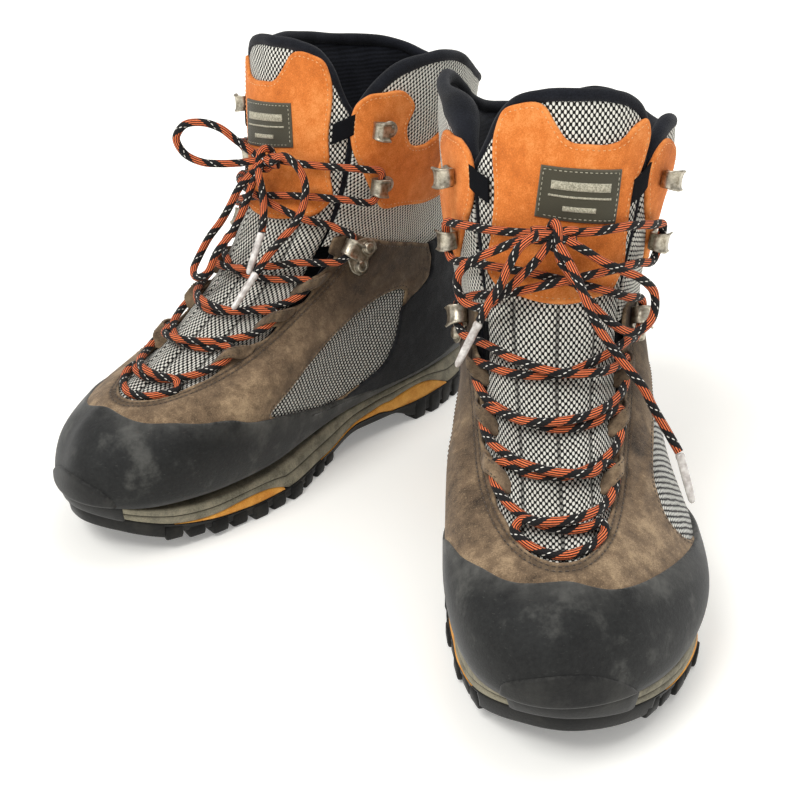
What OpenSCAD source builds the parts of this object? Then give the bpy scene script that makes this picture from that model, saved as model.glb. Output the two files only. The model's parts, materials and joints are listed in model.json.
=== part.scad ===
// A pair of lace-up mountaineering boots. Millimetres, +Z up, origin on the floor under the
// middle of the pair. Each boot is drawn once, as a left boot with its toe towards -Y, and is
// placed twice: as it is for the left foot and mirrored for the right foot.

/* [Boot] */
// Length of the boot from toe to heel
boot_length = 297; // [280:1:315]
// Width of the boot across the ball of the foot
boot_width = 107; // [100:1:114]
// Height of the boot to the top of its tongue
boot_height = 215; // [205:1:225]

/* [Layout] */
// Turn of the left boot about the vertical, in degrees
left_yaw = -2.5; // [-5:0.5:5]
// Turn of the right boot about the vertical, in degrees
right_yaw = -40; // [-45:0.5:-35]
// Left boot's own origin, from the middle of the pair
left_place = [85.8, -46.1, 0];
// Right boot's own origin, from the middle of the pair
right_place = [-40.2, 69.9, 0];

/* [Layers] */
// Thickness of the cuff's and the panels' fabric
fabric_t = 2; // [1.5:0.1:2.2]
// Thickness of the suede overlays
suede_t = 1.6; // [1:0.1:1.8]
// Thickness of the padded lining
lining_t = 4; // [3:0.1:4.5]
// Air between two layers of the upper
layer_gap = 0.3; // [0.2:0.05:0.4]

/* [Sole] */
// Depth of the tread lugs
lug_depth = 4.5; // [3:0.5:5]
// Thickness of the outsole's web above its lugs
web_t = 4; // [3:0.5:5]
// Rise of the toe above the floor
toe_spring = 18.5; // [16:0.5:19]
// Lift of the waist between the ball and the heel
waist_lift = 6; // [3:1:7]

/* [Lace] */
// Diameter of the round lace
lace_d = 4.4; // [3.8:0.1:4.6]
// Length of the clear tip on each end of the lace
aglet_length = 21; // [16:1:24]

/* [Hidden] */
PARTS = ["outsole", "midsole_inserts", "midsole", "insole_board", "footbed", "rand",
    "toe_bumper", "suede_vamp", "side_mesh", "heel_cap", "cuff_shell", "cuff_patches",
    "collar_rim", "lining", "tongue_lower", "tongue_upper", "tongue_patch", "tongue_label",
    "tongue_straps", "cuff_hooks", "instep_hooks", "hook_rivets", "lace_loops", "lace",
    "lace_knot", "bow_loops", "lace_tails", "aglets", "pull_strap"];
$fn = 32;

// ---- The upper's surface ------------------------------------------------------------------
// Twelve rings from the feather edge to the top of the shaft. Each ring is
// [front y, front z, back y, back z, x of its front, lateral half widths, medial half widths],
// with the widths at the five stations along it.
stations = [0.067, 0.25, 0.5, 0.75, 0.933];
rings = [
    [-134,  14, 140,  12, -4, [24, 46, 38, 34, 20], [30, 38, 27, 30, 20]],
    [-142,  28, 148,  26, -4, [31, 58, 48, 39, 25], [36, 44, 33, 36, 25]],
    [-143,  42, 151,  42, -4, [30, 62, 54, 42, 27], [36, 46, 36, 39, 27]],
    [-136,  57, 151,  60, -3, [25, 48, 54, 43, 26], [33, 45, 37, 39, 26]],
    [-116,  68, 148,  80, -2, [20, 39, 50, 41, 25], [26, 42, 37, 38, 25]],
    [ -90,  73, 144, 100,  0, [18, 36, 47, 39, 24], [24, 38, 37, 37, 24]],
    [ -62,  86, 141, 119,  0, [19, 35, 45, 37, 23], [23, 36, 39, 37, 23]],
    [ -34, 103, 139, 136,  0, [21, 36, 44, 37, 23], [24, 37, 42, 37, 23]],
    [ -10, 126, 139, 152,  1, [24, 40, 47, 38, 23], [26, 40, 46, 38, 23]],
    [   0, 150, 142, 167,  2, [28, 45, 51, 41, 24], [28, 44, 49, 40, 24]],
    [   4, 180, 145, 184,  2, [31, 49, 55, 44, 26], [30, 46, 51, 42, 26]],
    [   8, 215, 147, 202,  2, [31, 50, 56, 45, 26], [30, 46, 52, 43, 26]]];
stretch = [boot_width / 107, boot_length / 297, boot_height / 215];
NU = 12;
NR = len(rings);

function times(p, q) = [p.x * q.x, p.y * q.y, p.z * q.z];
function ring_point(r, x, s) =
    times([x, r[0] + (r[2] - r[0]) * s, r[1] + (r[3] - r[1]) * s], stretch);
function ring_points(r) = concat(
    [ring_point(r, r[4], 0)],
    [for (i = [0:4]) ring_point(r, r[5][i], stations[i])],
    [ring_point(r, 0, 1)],
    [for (i = [4:-1:0]) ring_point(r, -r[6][i], stations[i])]);
net = [for (r = rings) ring_points(r)];
// The B-spline's control points, moved out so that the surface passes by the rings' points
function bend(a, b, c) = (a - 2 * b + c) / 6;
net_u = [for (row = net) [for (i = [0:NU - 1])
    row[i] - bend(row[(i + NU - 1) % NU], row[i], row[(i + 1) % NU])]];
net_uv = [for (k = [0:NR - 1]) (k == 0 || k == NR - 1) ? net_u[k] :
    [for (i = [0:NU - 1]) net_u[k][i] - bend(net_u[k - 1][i], net_u[k][i], net_u[k + 1][i])]];
ctrl = concat([2 * net_uv[0] - net_uv[1]], net_uv, [2 * net_uv[NR - 1] - net_uv[NR - 2]]);

function spline(t) =
    [pow(1 - t, 3), 3 * t * t * t - 6 * t * t + 4, -3 * t * t * t + 3 * t * t + 3 * t + 1,
        t * t * t] / 6;
function ctrl_row(k, i, b) = b[0] * ctrl[k][(i + NU - 1) % NU] + b[1] * ctrl[k][i]
    + b[2] * ctrl[k][(i + 1) % NU] + b[3] * ctrl[k][(i + 2) % NU];
// Surface point: u runs round the boot from the toe by the lateral side, v runs up
function surf(u, v) = let(
    a = (u - floor(u)) * NU, i = floor(a) % NU, bu = spline(a - floor(a)),
    h = min(max(v, 0), 1) * (NR - 1), j = min(floor(h), NR - 2), bv = spline(h - j))
    bv[0] * ctrl_row(j, i, bu) + bv[1] * ctrl_row(j + 1, i, bu)
    + bv[2] * ctrl_row(j + 2, i, bu) + bv[3] * ctrl_row(j + 3, i, bu);
function unit(p) = p / norm(p);
e = 0.002;
function normal(u, v) = let(w = min(v, 1 - e)) unit(cross(surf(u + e, w) - surf(u - e, w),
    surf(u, w + e) - surf(u, max(w - e, 0))));
// Point at a distance d outside the surface
function at(u, v, d) = surf(u, v) + d * normal(u, v);

// ---- Edges of the pieces, as [u, v] points; u below 0 is the medial side --------------------
rand_top = [[-0.5, 0.17], [-0.38, 0.15], [-0.31, 0.12], [-0.25, 0.152], [-0.18, 0.235],
    [-0.15, 0.282], [-0.1, 0.305], [-0.065, 0.332], [-0.035, 0.352], [0, 0.372],
    [0.035, 0.350], [0.065, 0.325], [0.1, 0.3], [0.13, 0.275], [0.165, 0.24], [0.23, 0.18],
    [0.28, 0.13], [0.31, 0.12], [0.38, 0.15], [0.5, 0.17]];
rand_base = [[-0.5, 0.105], [-0.31, 0.105], [-0.25, 0.095], [-0.17, 0.065], [-0.1, 0.095],
    [0, 0.13], [0.1, 0.095], [0.17, 0.065], [0.25, 0.095], [0.31, 0.105], [0.5, 0.105]];
vamp_base = [[-0.31, 0.45], [-0.26, 0.435], [-0.233, 0.417], [-0.207, 0.362],
    [-0.194, 0.292], [-0.18, 0.242], [-0.15, 0.286], [-0.1, 0.31], [-0.065, 0.337],
    [-0.035, 0.357], [0, 0.377], [0.035, 0.355], [0.065, 0.33], [0.1, 0.305], [0.13, 0.28],
    [0.165, 0.245], [0.18, 0.3], [0.2, 0.362], [0.233, 0.417], [0.26, 0.435], [0.31, 0.45]];
vamp_top = [[-0.31, 0.508], [-0.25, 0.59], [-0.185, 0.665], [-0.135, 0.7], [-0.13, 0.62],
    [-0.12, 0.58], [-0.11, 0.54], [-0.095, 0.5], [-0.085, 0.46], [-0.06, 0.42],
    [-0.05, 0.4], [0.05, 0.4], [0.06, 0.42], [0.085, 0.46], [0.095, 0.5], [0.11, 0.54],
    [0.12, 0.58], [0.13, 0.62], [0.135, 0.7], [0.185, 0.665], [0.25, 0.59], [0.31, 0.508]];
collar_top = [[0.115, 0.898], [0.125, 0.913], [0.16, 0.948], [0.215, 0.963], [0.25, 0.956],
    [0.31, 0.901], [0.4, 0.858], [0.5, 0.843], [0.6, 0.858], [0.69, 0.901], [0.75, 0.956],
    [0.785, 0.963], [0.84, 0.948], [0.875, 0.913], [0.885, 0.898]];
cuff_base = [[0.115, 0.71], [0.19, 0.672], [0.25, 0.6], [0.31, 0.518], [0.5, 0.475],
    [0.69, 0.518], [0.75, 0.6], [0.81, 0.672], [0.885, 0.71]];
patch_base = [[0.11, 0.83], [0.125, 0.77], [0.165, 0.735], [0.2, 0.711], [0.29, 0.656],
    [0.38, 0.64]];
patch_top = [[0.11, 0.88], [0.125, 0.91], [0.16, 0.93], [0.185, 0.92], [0.195, 0.86],
    [0.217, 0.835], [0.25, 0.85], [0.31, 0.83], [0.38, 0.76]];

// ---- Thin curved pieces -------------------------------------------------------------------
function steps(a, b, n) = [for (i = [0:n]) a + (b - a) * i / n];
function flat(lists) = [for (l = lists) each l];
// A piece of the upper between two edges and two distances from the surface. With closed set
// it runs all the way round. The bulge raises it in the middle, as a loop over a lace.
module skin(us, low, high, inner, outer, rows = 6, closed = false, bulge = 0) {
    n = closed ? len(us) - 1 : len(us);
    w = rows + 1;
    function lift(i) = bulge * sin(180 * i / (len(us) - 1));
    function grid(side) = flat([for (i = [0:n - 1]) [for (k = [0:rows])
        at(us[i], lookup(us[i], low) + (lookup(us[i], high) - lookup(us[i], low)) * k / rows,
            (side == 0 ? outer : inner) + lift(i))]]);
    function o(i, k) = (i % n) * w + k;
    function b(i, k) = n * w + o(i, k);
    last = closed ? n - 1 : n - 2;
    faces = concat(
        flat([for (i = [0:last]) flat([for (k = [0:rows - 1]) [
            [o(i, k), o(i, k + 1), o(i + 1, k + 1)], [o(i, k), o(i + 1, k + 1), o(i + 1, k)],
            [b(i, k), b(i + 1, k + 1), b(i, k + 1)], [b(i, k), b(i + 1, k), b(i + 1, k + 1)]]])]),
        flat([for (i = [0:last]) [
            [o(i, 0), o(i + 1, 0), b(i + 1, 0)], [o(i, 0), b(i + 1, 0), b(i, 0)],
            [o(i, rows), b(i + 1, rows), o(i + 1, rows)],
            [o(i, rows), b(i, rows), b(i + 1, rows)]]]),
        closed ? [] : flat([for (k = [0:rows - 1]) [
            [o(0, k), b(0, k), b(0, k + 1)], [o(0, k), b(0, k + 1), o(0, k + 1)],
            [o(n - 1, k), b(n - 1, k + 1), b(n - 1, k)],
            [o(n - 1, k), o(n - 1, k + 1), b(n - 1, k + 1)]]]));
    polyhedron(points = concat(grid(0), grid(1)), faces = faces);
}

// ---- Sole layers ---------------------------------------------------------------------------
sole_n = 48;
ball_y = -60;
function across(p) = [p.x, p.y, 0];
function out_from(u) = let(n = across(normal(u, 0.07))) unit(n);
// Edge of the sole at u, a distance w outside the foot of the upper
function sole_edge(u, w) = across(surf(u, 0.07)) + w * out_from(u);
function ease(t) = let(s = min(max(t, 0), 1)) s * s * (3 - 2 * s);
function spring(y) = toe_spring * pow(max(ball_y - y, 0) / 82, 2);
function waist(y) = waist_lift * ease((y + 35) / 35) * ease((62 - y) / 12);
function sole_low(y) = lug_depth + spring(y) + waist(y);
function lens(y, a, b) = (y > a && y < b) ? pow(abs(sin(180 * (y - a) / (b - a))), 0.8) : 0;
arch = [-14, 92];
wedge = [-104, -18];
function web_top(y) = sole_low(y) + web_t + 4 * ease((y - 60) / 15);
function insert_top(y) = web_top(y) + 0.02 + 10 * lens(y, arch[0], arch[1])
    + 3.2 * lens(y, wedge[0], wedge[1]);
function welt(y) = 21 + 0.67 * spring(y) + 6 * ease((y + 40) / 80);

// A layer of the sole between two heights, from width w0 below to w1 above
module layer(w0, w1, low, high) {
    us = [for (i = [0:sole_n - 1]) i / sole_n];
    function ring(w, kind) = [for (u = us) let(p = sole_edge(u, w))
        [p.x, p.y, layer_z(kind, p.y)]];
    h = sole_n / 2;
    function t(i) = i % sole_n;
    faces = concat(
        flat([for (i = [0:sole_n - 1]) [
            [i, sole_n + i, sole_n + t(i + 1)], [i, sole_n + t(i + 1), t(i + 1)]]]),
        flat([for (i = [0:h - 1]) let(a = i, b = i + 1, c = t(sole_n - i - 1),
            d = t(sole_n - i))
            concat(i == h - 1 ? [] : [[a, b, c], [sole_n + a, sole_n + c, sole_n + b]],
                i == 0 ? [] : [[a, c, d], [sole_n + a, sole_n + d, sole_n + c]])]));
    polyhedron(points = concat(ring(w0, low), ring(w1, high)), faces = faces);
}
function layer_z(kind, y) = kind == "floor" ? sole_low(y)
    : kind == "web" ? web_top(y)
    : kind == "insert_low" ? web_top(y) + 0.01
    : kind == "insert" ? insert_top(y)
    : kind == "midsole_low" ? insert_top(y) + 0.01
    : kind == "welt" ? welt(y)
    : kind == "board_low" ? welt(y) + 0.1
    : kind == "board" ? welt(y) + 2
    : kind == "footbed_low" ? welt(y) + 2.4
    : welt(y) + 2.4 + 4 + 3 * ease((y + 20) / 90);

// ---- Sub-parts, drawn once as the left boot's -------------------------------------------------
module lug(u, w, size) {
    p = sole_edge(u, w);
    n = out_from(u);
    low = spring(p.y);
    translate([p.x, p.y, low]) rotate([0, 0, atan2(n.y, n.x)])
        translate([-size.x / 2, -size.y / 2, 0])
            cube([size.x, size.y, sole_low(p.y) - low + 1]);
}

module outsole() {
    edge_lugs = 26;
    color("#1d1d1f") {
        layer(0.5, 2.5, "floor", "web");
        for (i = [0:edge_lugs - 1]) let(u = (i + 0.5) / edge_lugs,
            y = sole_edge(u, 0).y)
            if (waist(y) < 1) lug(u, -4.5, [9, 8.5]);
        for (y = [-104:17:-40], x = [-17, 5, 27]) translate([x - 5.5, y - 5, spring(y)])
            cube([11, 10, lug_depth + 1]);
        for (y = [80, 102, 122], x = [-11, 11]) translate([x - 6, y - 5, 0])
            cube([12, 10, lug_depth + 1]);
    }
}

module midsole_inserts() {
    color("#e8902f") intersection() {
        layer(2.4, 2.2, "insert_low", "insert");
        union() {
            translate([-100, arch[0] + 2, 0]) cube([200, arch[1] - arch[0] - 4, 60]);
            translate([-100, wedge[0] + 3, 0]) cube([200, wedge[1] - wedge[0] - 6, 60]);
        }
    }
}

module midsole() {
    color("#8b8877") layer(2.2, 1, "midsole_low", "welt");
}

module insole_board() {
    color("#b9a88a") layer(-7.5, -7.5, "board_low", "board");
}

module footbed() {
    color("#3a3b42") layer(-9, -9.5, "footbed_low", "footbed");
}

module rand() {
    color("#3b3b3c") skin(steps(-0.5, 0.5, 48), rand_base, rand_top, -2, 1.8, closed = true);
}

module toe_bumper() {
    low = [[-0.055, 0.14], [0, 0.142], [0.07, 0.14]];
    high = [[-0.055, 0.165], [-0.03, 0.195], [0, 0.207], [0.035, 0.193], [0.07, 0.16]];
    color("#343435") skin(steps(-0.055, 0.07, 6), low, high, 2.3, 3.4, rows = 2);
}

function both_ways(us) = concat([for (i = [len(us) - 1:-1:0]) -us[i]], [0], us);

module suede_vamp() {
    us = both_ways([0.025, 0.05, 0.06, 0.085, 0.095, 0.11, 0.12, 0.13, 0.135, 0.16, 0.185,
        0.215, 0.25, 0.28, 0.31]);
    color("#6f5f52") skin(us, vamp_base, vamp_top, 0, suede_t, rows = 8);
}

function raise(table, dv) = [for (p = table) [p[0], p[1] + dv]];

module side_mesh() {
    low = raise(rand_top, 0.006);
    high = raise(vamp_base, 0.03);
    color("#aaa79c") for (side = [-1, 1])
        skin(side * steps(side < 0 ? 0.31 : 0.18, side < 0 ? 0.18 : 0.31, 6), low, high,
            -layer_gap - fabric_t, -layer_gap, rows = 4);
}

module heel_cap() {
    low = [for (p = concat([for (p = rand_top) if (p[0] > 0) p],
        [for (p = rand_top) if (p[0] < 0) [p[0] + 1, p[1]]])) [p[0], p[1] + 0.006]];
    color("#26272f") skin(steps(0.313, 0.687, 14), low, raise(cuff_base, -0.006),
        -fabric_t, 1.2);
}

module cuff_shell() {
    us = concat([0.115, 0.13, 0.16], steps(0.19, 0.81, 20), [0.84, 0.87, 0.885]);
    color("#aaa79c") skin(us, cuff_base, collar_top, -0.2 - fabric_t, -0.2);
}

module cuff_patches() {
    us = [0.11, 0.125, 0.145, 0.165, 0.185, 0.195, 0.217, 0.25, 0.29, 0.31, 0.345, 0.38];
    color("#e58a3c") {
        skin(us, patch_base, patch_top, 0.1, 0.1 + suede_t, rows = 4);
        mirrored = [for (i = [len(us) - 1:-1:0]) -us[i]];
        skin(mirrored, mirror_table(patch_base), mirror_table(patch_top), 0.1, 0.1 + suede_t,
            rows = 4);
    }
}

function mirror_table(t) = [for (i = [len(t) - 1:-1:0]) [-t[i][0], t[i][1]]];

module collar_rim() {
    us = concat([0.14, 0.16], steps(0.19, 0.81, 20), [0.84, 0.86]);
    color("#22232c") skin(us, raise(collar_top, 0.003), raise(collar_top, 0.024),
        -layer_gap - fabric_t - lining_t, 0.4, rows = 2);
}

lining_gap = 0.8;
module lining() {
    outer = -layer_gap - fabric_t - lining_gap;
    us = steps(0.15, 0.85, 24);
    foot = [[-1, 0.17], [1, 0.17]];
    throat = [[-1, 0.385], [1, 0.385]];
    color("#2a2b36") {
        skin(us, foot, raise(collar_top, -0.004), outer - lining_t, outer, rows = 8);
        skin(steps(-0.128, 0.128, 8), foot, throat, outer - lining_t, outer, rows = 3);
    }
}

module tongue_lower() {
    high = [[-0.125, 0.63], [0, 0.64], [0.125, 0.63]];
    color("#aaa79c") skin(steps(-0.125, 0.125, 10), [[-0.125, 0.39], [0.125, 0.39]], high,
        -5, -1, rows = 5);
}

module tongue_upper() {
    low = [[-0.1, 0.69], [0, 0.655], [0.1, 0.69]];
    high = [[-0.1, 0.955], [-0.08, 0.98], [-0.05, 0.997], [0, 1], [0.05, 0.997],
        [0.08, 0.98], [0.1, 0.955]];
    color("#aaa79c") skin(steps(-0.1, 0.1, 12), low, high, -9, -0.6, rows = 8);
}

module tongue_patch() {
    low = [[-0.078, 0.735], [0, 0.725], [0.085, 0.735]];
    high = [[-0.078, 0.955], [-0.068, 0.975], [-0.05, 0.981], [-0.025, 0.98],
        [-0.005, 0.955], [0.02, 0.943], [0.05, 0.943], [0.07, 0.96], [0.085, 0.965]];
    us = [-0.078, -0.068, -0.05, -0.025, -0.005, 0.02, 0.05, 0.07, 0.085];
    color("#e58a3c") skin(us, low, high, 0, 1.4, rows = 6);
}

module tongue_label() {
    low = [[-0.032, 0.867], [0.055, 0.858]];
    high = [[-0.032, 0.924], [0.055, 0.917]];
    color("#4c4b40") skin(steps(-0.032, 0.055, 4), low, high, 1.8, 2.7, rows = 2);
}

module tongue_straps() {
    color("#17181c") for (side = [-1, 1])
        skin(side < 0 ? steps(-0.125, -0.082, 2) : steps(0.082, 0.125, 2),
            [[-0.2, 0.882], [0.2, 0.882]], [[-0.2, 0.91], [0.2, 0.91]], 1.9, 2.7, rows = 1);
}

// ---- Metal fittings ------------------------------------------------------------------------
// Stands children on the upper at a surface point: Z outwards, Y to the rear, X down
module stand(u, v, d, turn = 0) {
    n = normal(u, v);
    translate(at(u, v, d)) rotate([0, acos(n.z), atan2(n.y, n.x)])
        mirror([0, u < 0 ? 1 : 0, 0]) rotate([0, 0, turn]) children();
}

hook_w = 9;
hook_t = 1.1;
hook_r = 4.6;
hook_flap = 4.6;
rivet_r = 3.1;
// How far behind a cuff hook's bend its rivet is
cuff_rivet_y = 5;
instep_rivet_y = 11;
cuff_hook_at = [[0.152, 0.789], [0.141, 0.886]];
instep_hook_at = [0.155, 0.668];
hook_seat = 0.1 + suede_t + 0.1;

module hook_profile(tail) {
    difference() {
        translate([0, hook_r]) circle(r = hook_r);
        translate([0, hook_r]) circle(r = hook_r - hook_t);
        translate([0, hook_t]) square([2 * hook_r, 2 * (hook_r - hook_t)]);
    }
    square([tail, hook_t]);
    translate([0, 2 * hook_r - hook_t]) square([hook_flap, hook_t]);
}

module hook(tail) {
    rotate([90, 0, 90]) translate([0, 0, -hook_w / 2]) linear_extrude(hook_w)
        hook_profile(tail);
}

module cuff_hooks() {
    color("#a39c8c") for (p = cuff_hook_at, side = [-1, 1])
        stand(side * p[0], p[1], hook_seat) {
            hook(5);
            translate([0, cuff_rivet_y, 0]) cylinder(r = hook_w / 2, h = hook_t);
        }
}

module instep_hooks() {
    color("#a39c8c") for (side = [-1, 1])
        stand(side * instep_hook_at[0], instep_hook_at[1], hook_seat, turn = -35) {
            hook(8);
            for (x = [-5, 5]) translate([x, instep_rivet_y, 0]) cylinder(r = 4.6, h = hook_t);
        }
}

module rivet_head(h) {
    cylinder(r = rivet_r, h = h);
    translate([0, 0, h]) cylinder(r = rivet_r - 0.7, h = 0.6 * h);
}

module hook_rivets() {
    color("#8f897b") for (side = [-1, 1]) {
        for (p = cuff_hook_at) stand(side * p[0], p[1], hook_seat)
            translate([0, cuff_rivet_y, hook_t]) rivet_head(0.35);
        stand(side * instep_hook_at[0], instep_hook_at[1], hook_seat, turn = -35)
            for (x = [-5, 5]) translate([x, instep_rivet_y, hook_t]) rivet_head(1);
    }
}

// ---- Lacing --------------------------------------------------------------------------------
// Each tab is [u, lowest v, highest v]
tabs = [[0.13, 0.603, 0.624], [0.112, 0.546, 0.568], [0.092, 0.479, 0.503]];

module lace_loops() {
    half = 0.021;
    color("#6f5f52") for (t = tabs, side = [-1, 1])
        skin(steps(side * t[0] - half, side * t[0] + half, 6),
            [[-1, t[1]], [1, t[1]]], [[-1, t[2]], [1, t[2]]], suede_t + 0.25, suede_t + 1.5,
            rows = 1, bulge = 5.3);
}

// The held part of the lace, from the knot by the medial hook down to the bar at the toe end
// of the throat and back up to the knot, as [u, v, distance from the surface]
lace_route = [
    [-0.042, 0.843, 6.5], [-0.083, 0.838, 5.4], [-0.125, 0.829, 5.6], [-0.15, 0.816, 6.2],
    [-0.153, 0.789, 6.4], [-0.15, 0.762, 6.2], [-0.118, 0.774, 5], [-0.065, 0.787, 4.9],
    [-0.017, 0.784, 4.9], [0.044, 0.762, 5.3], [0.1, 0.73, 5], [0.148, 0.694, 6],
    [0.156, 0.668, 6.4], [0.15, 0.644, 6], [0.12, 0.66, 5], [0.07, 0.665, 3.9],
    [0, 0.655, 3.6], [-0.06, 0.645, 3.6], [-0.105, 0.635, 3.8], [-0.127, 0.622, 4.2],
    [-0.13, 0.606, 4.2], [-0.12, 0.591, 4], [-0.06, 0.59, 3.4], [0, 0.588, 3.4],
    [0.06, 0.585, 3.4], [0.095, 0.58, 3.9], [0.11, 0.57, 4.2], [0.113, 0.556, 4.2],
    [0.11, 0.541, 4.2], [0.1, 0.53, 4], [0.05, 0.528, 3.4], [0, 0.526, 3.4],
    [-0.05, 0.521, 3.4], [-0.078, 0.516, 3.9], [-0.09, 0.506, 4.2], [-0.093, 0.49, 4.2],
    [-0.09, 0.474, 4.2], [-0.075, 0.461, 3.9], [-0.04, 0.455, 3.4], [0, 0.45, 3.4],
    [0.04, 0.443, 3.4], [0.062, 0.436, 3.7], [0.066, 0.424, 3.4], [0.05, 0.414, 2.6],
    [0.025, 0.412, 2], [0, 0.411, 1.8], [-0.025, 0.412, 2], [-0.048, 0.415, 2.6],
    [-0.063, 0.428, 3.4], [-0.056, 0.441, 4.6], [-0.03, 0.446, 7.4], [0, 0.451, 8],
    [0.04, 0.458, 6], [0.07, 0.46, 4.2], [0.087, 0.468, 4.2], [0.093, 0.482, 4.2],
    [0.092, 0.498, 4.2], [0.083, 0.511, 4], [0.04, 0.517, 6.5], [0, 0.522, 8],
    [-0.04, 0.527, 6.5], [-0.08, 0.53, 4.2], [-0.103, 0.533, 4.2], [-0.112, 0.545, 4.2],
    [-0.113, 0.558, 4.2], [-0.107, 0.572, 4.2], [-0.09, 0.581, 4], [-0.04, 0.585, 7],
    [0, 0.59, 8], [0.04, 0.594, 6.8], [0.09, 0.595, 4.2], [0.118, 0.594, 4.2],
    [0.129, 0.605, 4.2], [0.13, 0.62, 4.2], [0.124, 0.633, 4.4], [0.1, 0.639, 4.6],
    [0.05, 0.646, 7.4], [0, 0.652, 8.2], [-0.05, 0.66, 7.4], [-0.1, 0.665, 5],
    [-0.135, 0.652, 5.6], [-0.15, 0.646, 6], [-0.156, 0.668, 6.4], [-0.148, 0.692, 6],
    [-0.118, 0.72, 4.6], [-0.065, 0.746, 5.6], [-0.017, 0.77, 9.4], [0.022, 0.784, 9.4],
    [0.06, 0.788, 6.4], [0.11, 0.778, 5], [0.15, 0.762, 6.2], [0.153, 0.789, 6.4],
    [0.15, 0.816, 6.2], [0.125, 0.829, 5.6], [0.083, 0.844, 5.4], [0.028, 0.847, 6.5]];

// Free cords in the boot's own millimetres: two bow loops and two tails, left boot then right
left_bow = [
    [[-9, -9, 160], [-18, -10, 158], [-27, -7, 153], [-35, -4, 148], [-41, -2, 140],
        [-39, -4, 131], [-31, -8, 129], [-24, -11, 135], [-17, -13, 143], [-9, -13, 152]],
    [[2, -10, 159], [9, -10, 155], [17, -10, 150], [25, -9, 146], [34, -6, 141],
        [40, -3, 134], [40, -5, 124], [32, -12, 120], [23, -16, 125], [14, -16, 133],
        [7, -15, 142], [0, -13, 151]]];
left_tails = [
    [[-10, -12, 162], [-17, -17, 158], [-21, -17, 150], [-24, -17, 142], [-28, -17, 135],
        [-32, -18, 127]],
    [[3, -16, 152], [7, -21, 145], [11, -24, 136], [16, -26, 127], [22, -28, 119],
        [28, -30, 112], [34, -32, 105], [39, -33, 96], [44, -34, 88], [50, -39, 79]]];
right_bow = [
    [[2, -11, 163], [8, -16, 169], [13, -21, 175], [19, -27, 178], [25, -33, 177],
        [28, -36, 171], [26, -34, 164], [20, -28, 159], [14, -22, 158], [7, -15, 158]],
    [[0, -15, 154], [5, -19, 147], [10, -21, 138], [15, -24, 129], [20, -28, 121],
        [23, -32, 113], [21, -39, 107], [14, -43, 106], [8, -42, 109], [5, -37, 119],
        [3, -27, 128], [1, -20, 139], [-1, -16, 149]]];
right_tails = [
    [[-9, -10, 160], [-17, -9, 164], [-24, -7, 159], [-28, -7, 151], [-29, -10, 143],
        [-28, -15, 135], [-25, -22, 128], [-22, -29, 121], [-20, -35, 114]],
    [[-2.5, -13, 156.3], [-5, -15, 154], [-9, -17, 146], [-12, -20, 138], [-14, -24, 130]]];
// Where each tail's clear tip points
left_tip_dirs = [[-8, -2, -17], [5, -10, -16]];
right_tip_dirs = [[0, -14, -11], [-1, -9, -13]];

function transport(ts, i, r) = i == len(ts) ? [] :
    let(q = unit(r - (r * ts[i]) * ts[i])) concat([q], transport(ts, i + 1, q));
module tube(points, d, sides = 8) {
    n = len(points);
    ts = [for (i = [0:n - 1]) unit(points[min(i + 1, n - 1)] - points[max(i - 1, 0)])];
    first = abs(ts[0].z) < 0.8 ? [0, 0, 1] : [0, 1, 0];
    rs = transport(ts, 0, first);
    ring = flat([for (i = [0:n - 1]) let(c = cross(ts[i], rs[i])) [for (k = [0:sides - 1])
        points[i] + d / 2 * (cos(360 * k / sides) * rs[i] + sin(360 * k / sides) * c)]]);
    function p(i, k) = i * sides + k % sides;
    faces = concat([[for (k = [0:sides - 1]) k]],
        flat([for (i = [0:n - 2]) flat([for (k = [0:sides - 1]) [
            [p(i, k), p(i + 1, k), p(i + 1, k + 1)], [p(i, k), p(i + 1, k + 1), p(i, k + 1)]]])]),
        [[for (k = [sides - 1:-1:0]) p(n - 1, k)]]);
    polyhedron(points = ring, faces = faces);
}

module lace() {
    color("#d2603a") tube([for (p = lace_route) at(p[0], p[1], p[2])], lace_d);
}

module lace_knot() {
    color("#2b2624") translate(at(-0.01, 0.846, 9.5)) rotate([-20, 0, 0])
        scale([9.5, 5.6, 6.4]) sphere(1, $fn = 16);
}

module bow_loops(side) {
    color("#d2603a") for (route = side == "left" ? left_bow : right_bow)
        tube([for (p = route) times(p, stretch)], lace_d);
}

module lace_tails(side) {
    color("#d2603a") for (route = side == "left" ? left_tails : right_tails)
        tube([for (p = route) times(p, stretch)], lace_d);
}

module aglets(side) {
    tails = side == "left" ? left_tails : right_tails;
    dirs = side == "left" ? left_tip_dirs : right_tip_dirs;
    color("#cfc9bd") for (i = [0, 1]) {
        dir = unit(dirs[i]);
        end = times(tails[i][len(tails[i]) - 1], stretch);
        translate(end + 0.4 * dir) rotate([0, acos(dir.z), atan2(dir.y, dir.x)])
            cylinder(d = lace_d - 0.6, h = aglet_length);
    }
}

module pull_strap() {
    color("#17181c") skin(steps(0.486, 0.514, 3), [[0.4, 0.73], [0.6, 0.73]],
        [[0.4, 0.838], [0.6, 0.838]], 0.1, 1.6, rows = 4);
}

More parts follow.
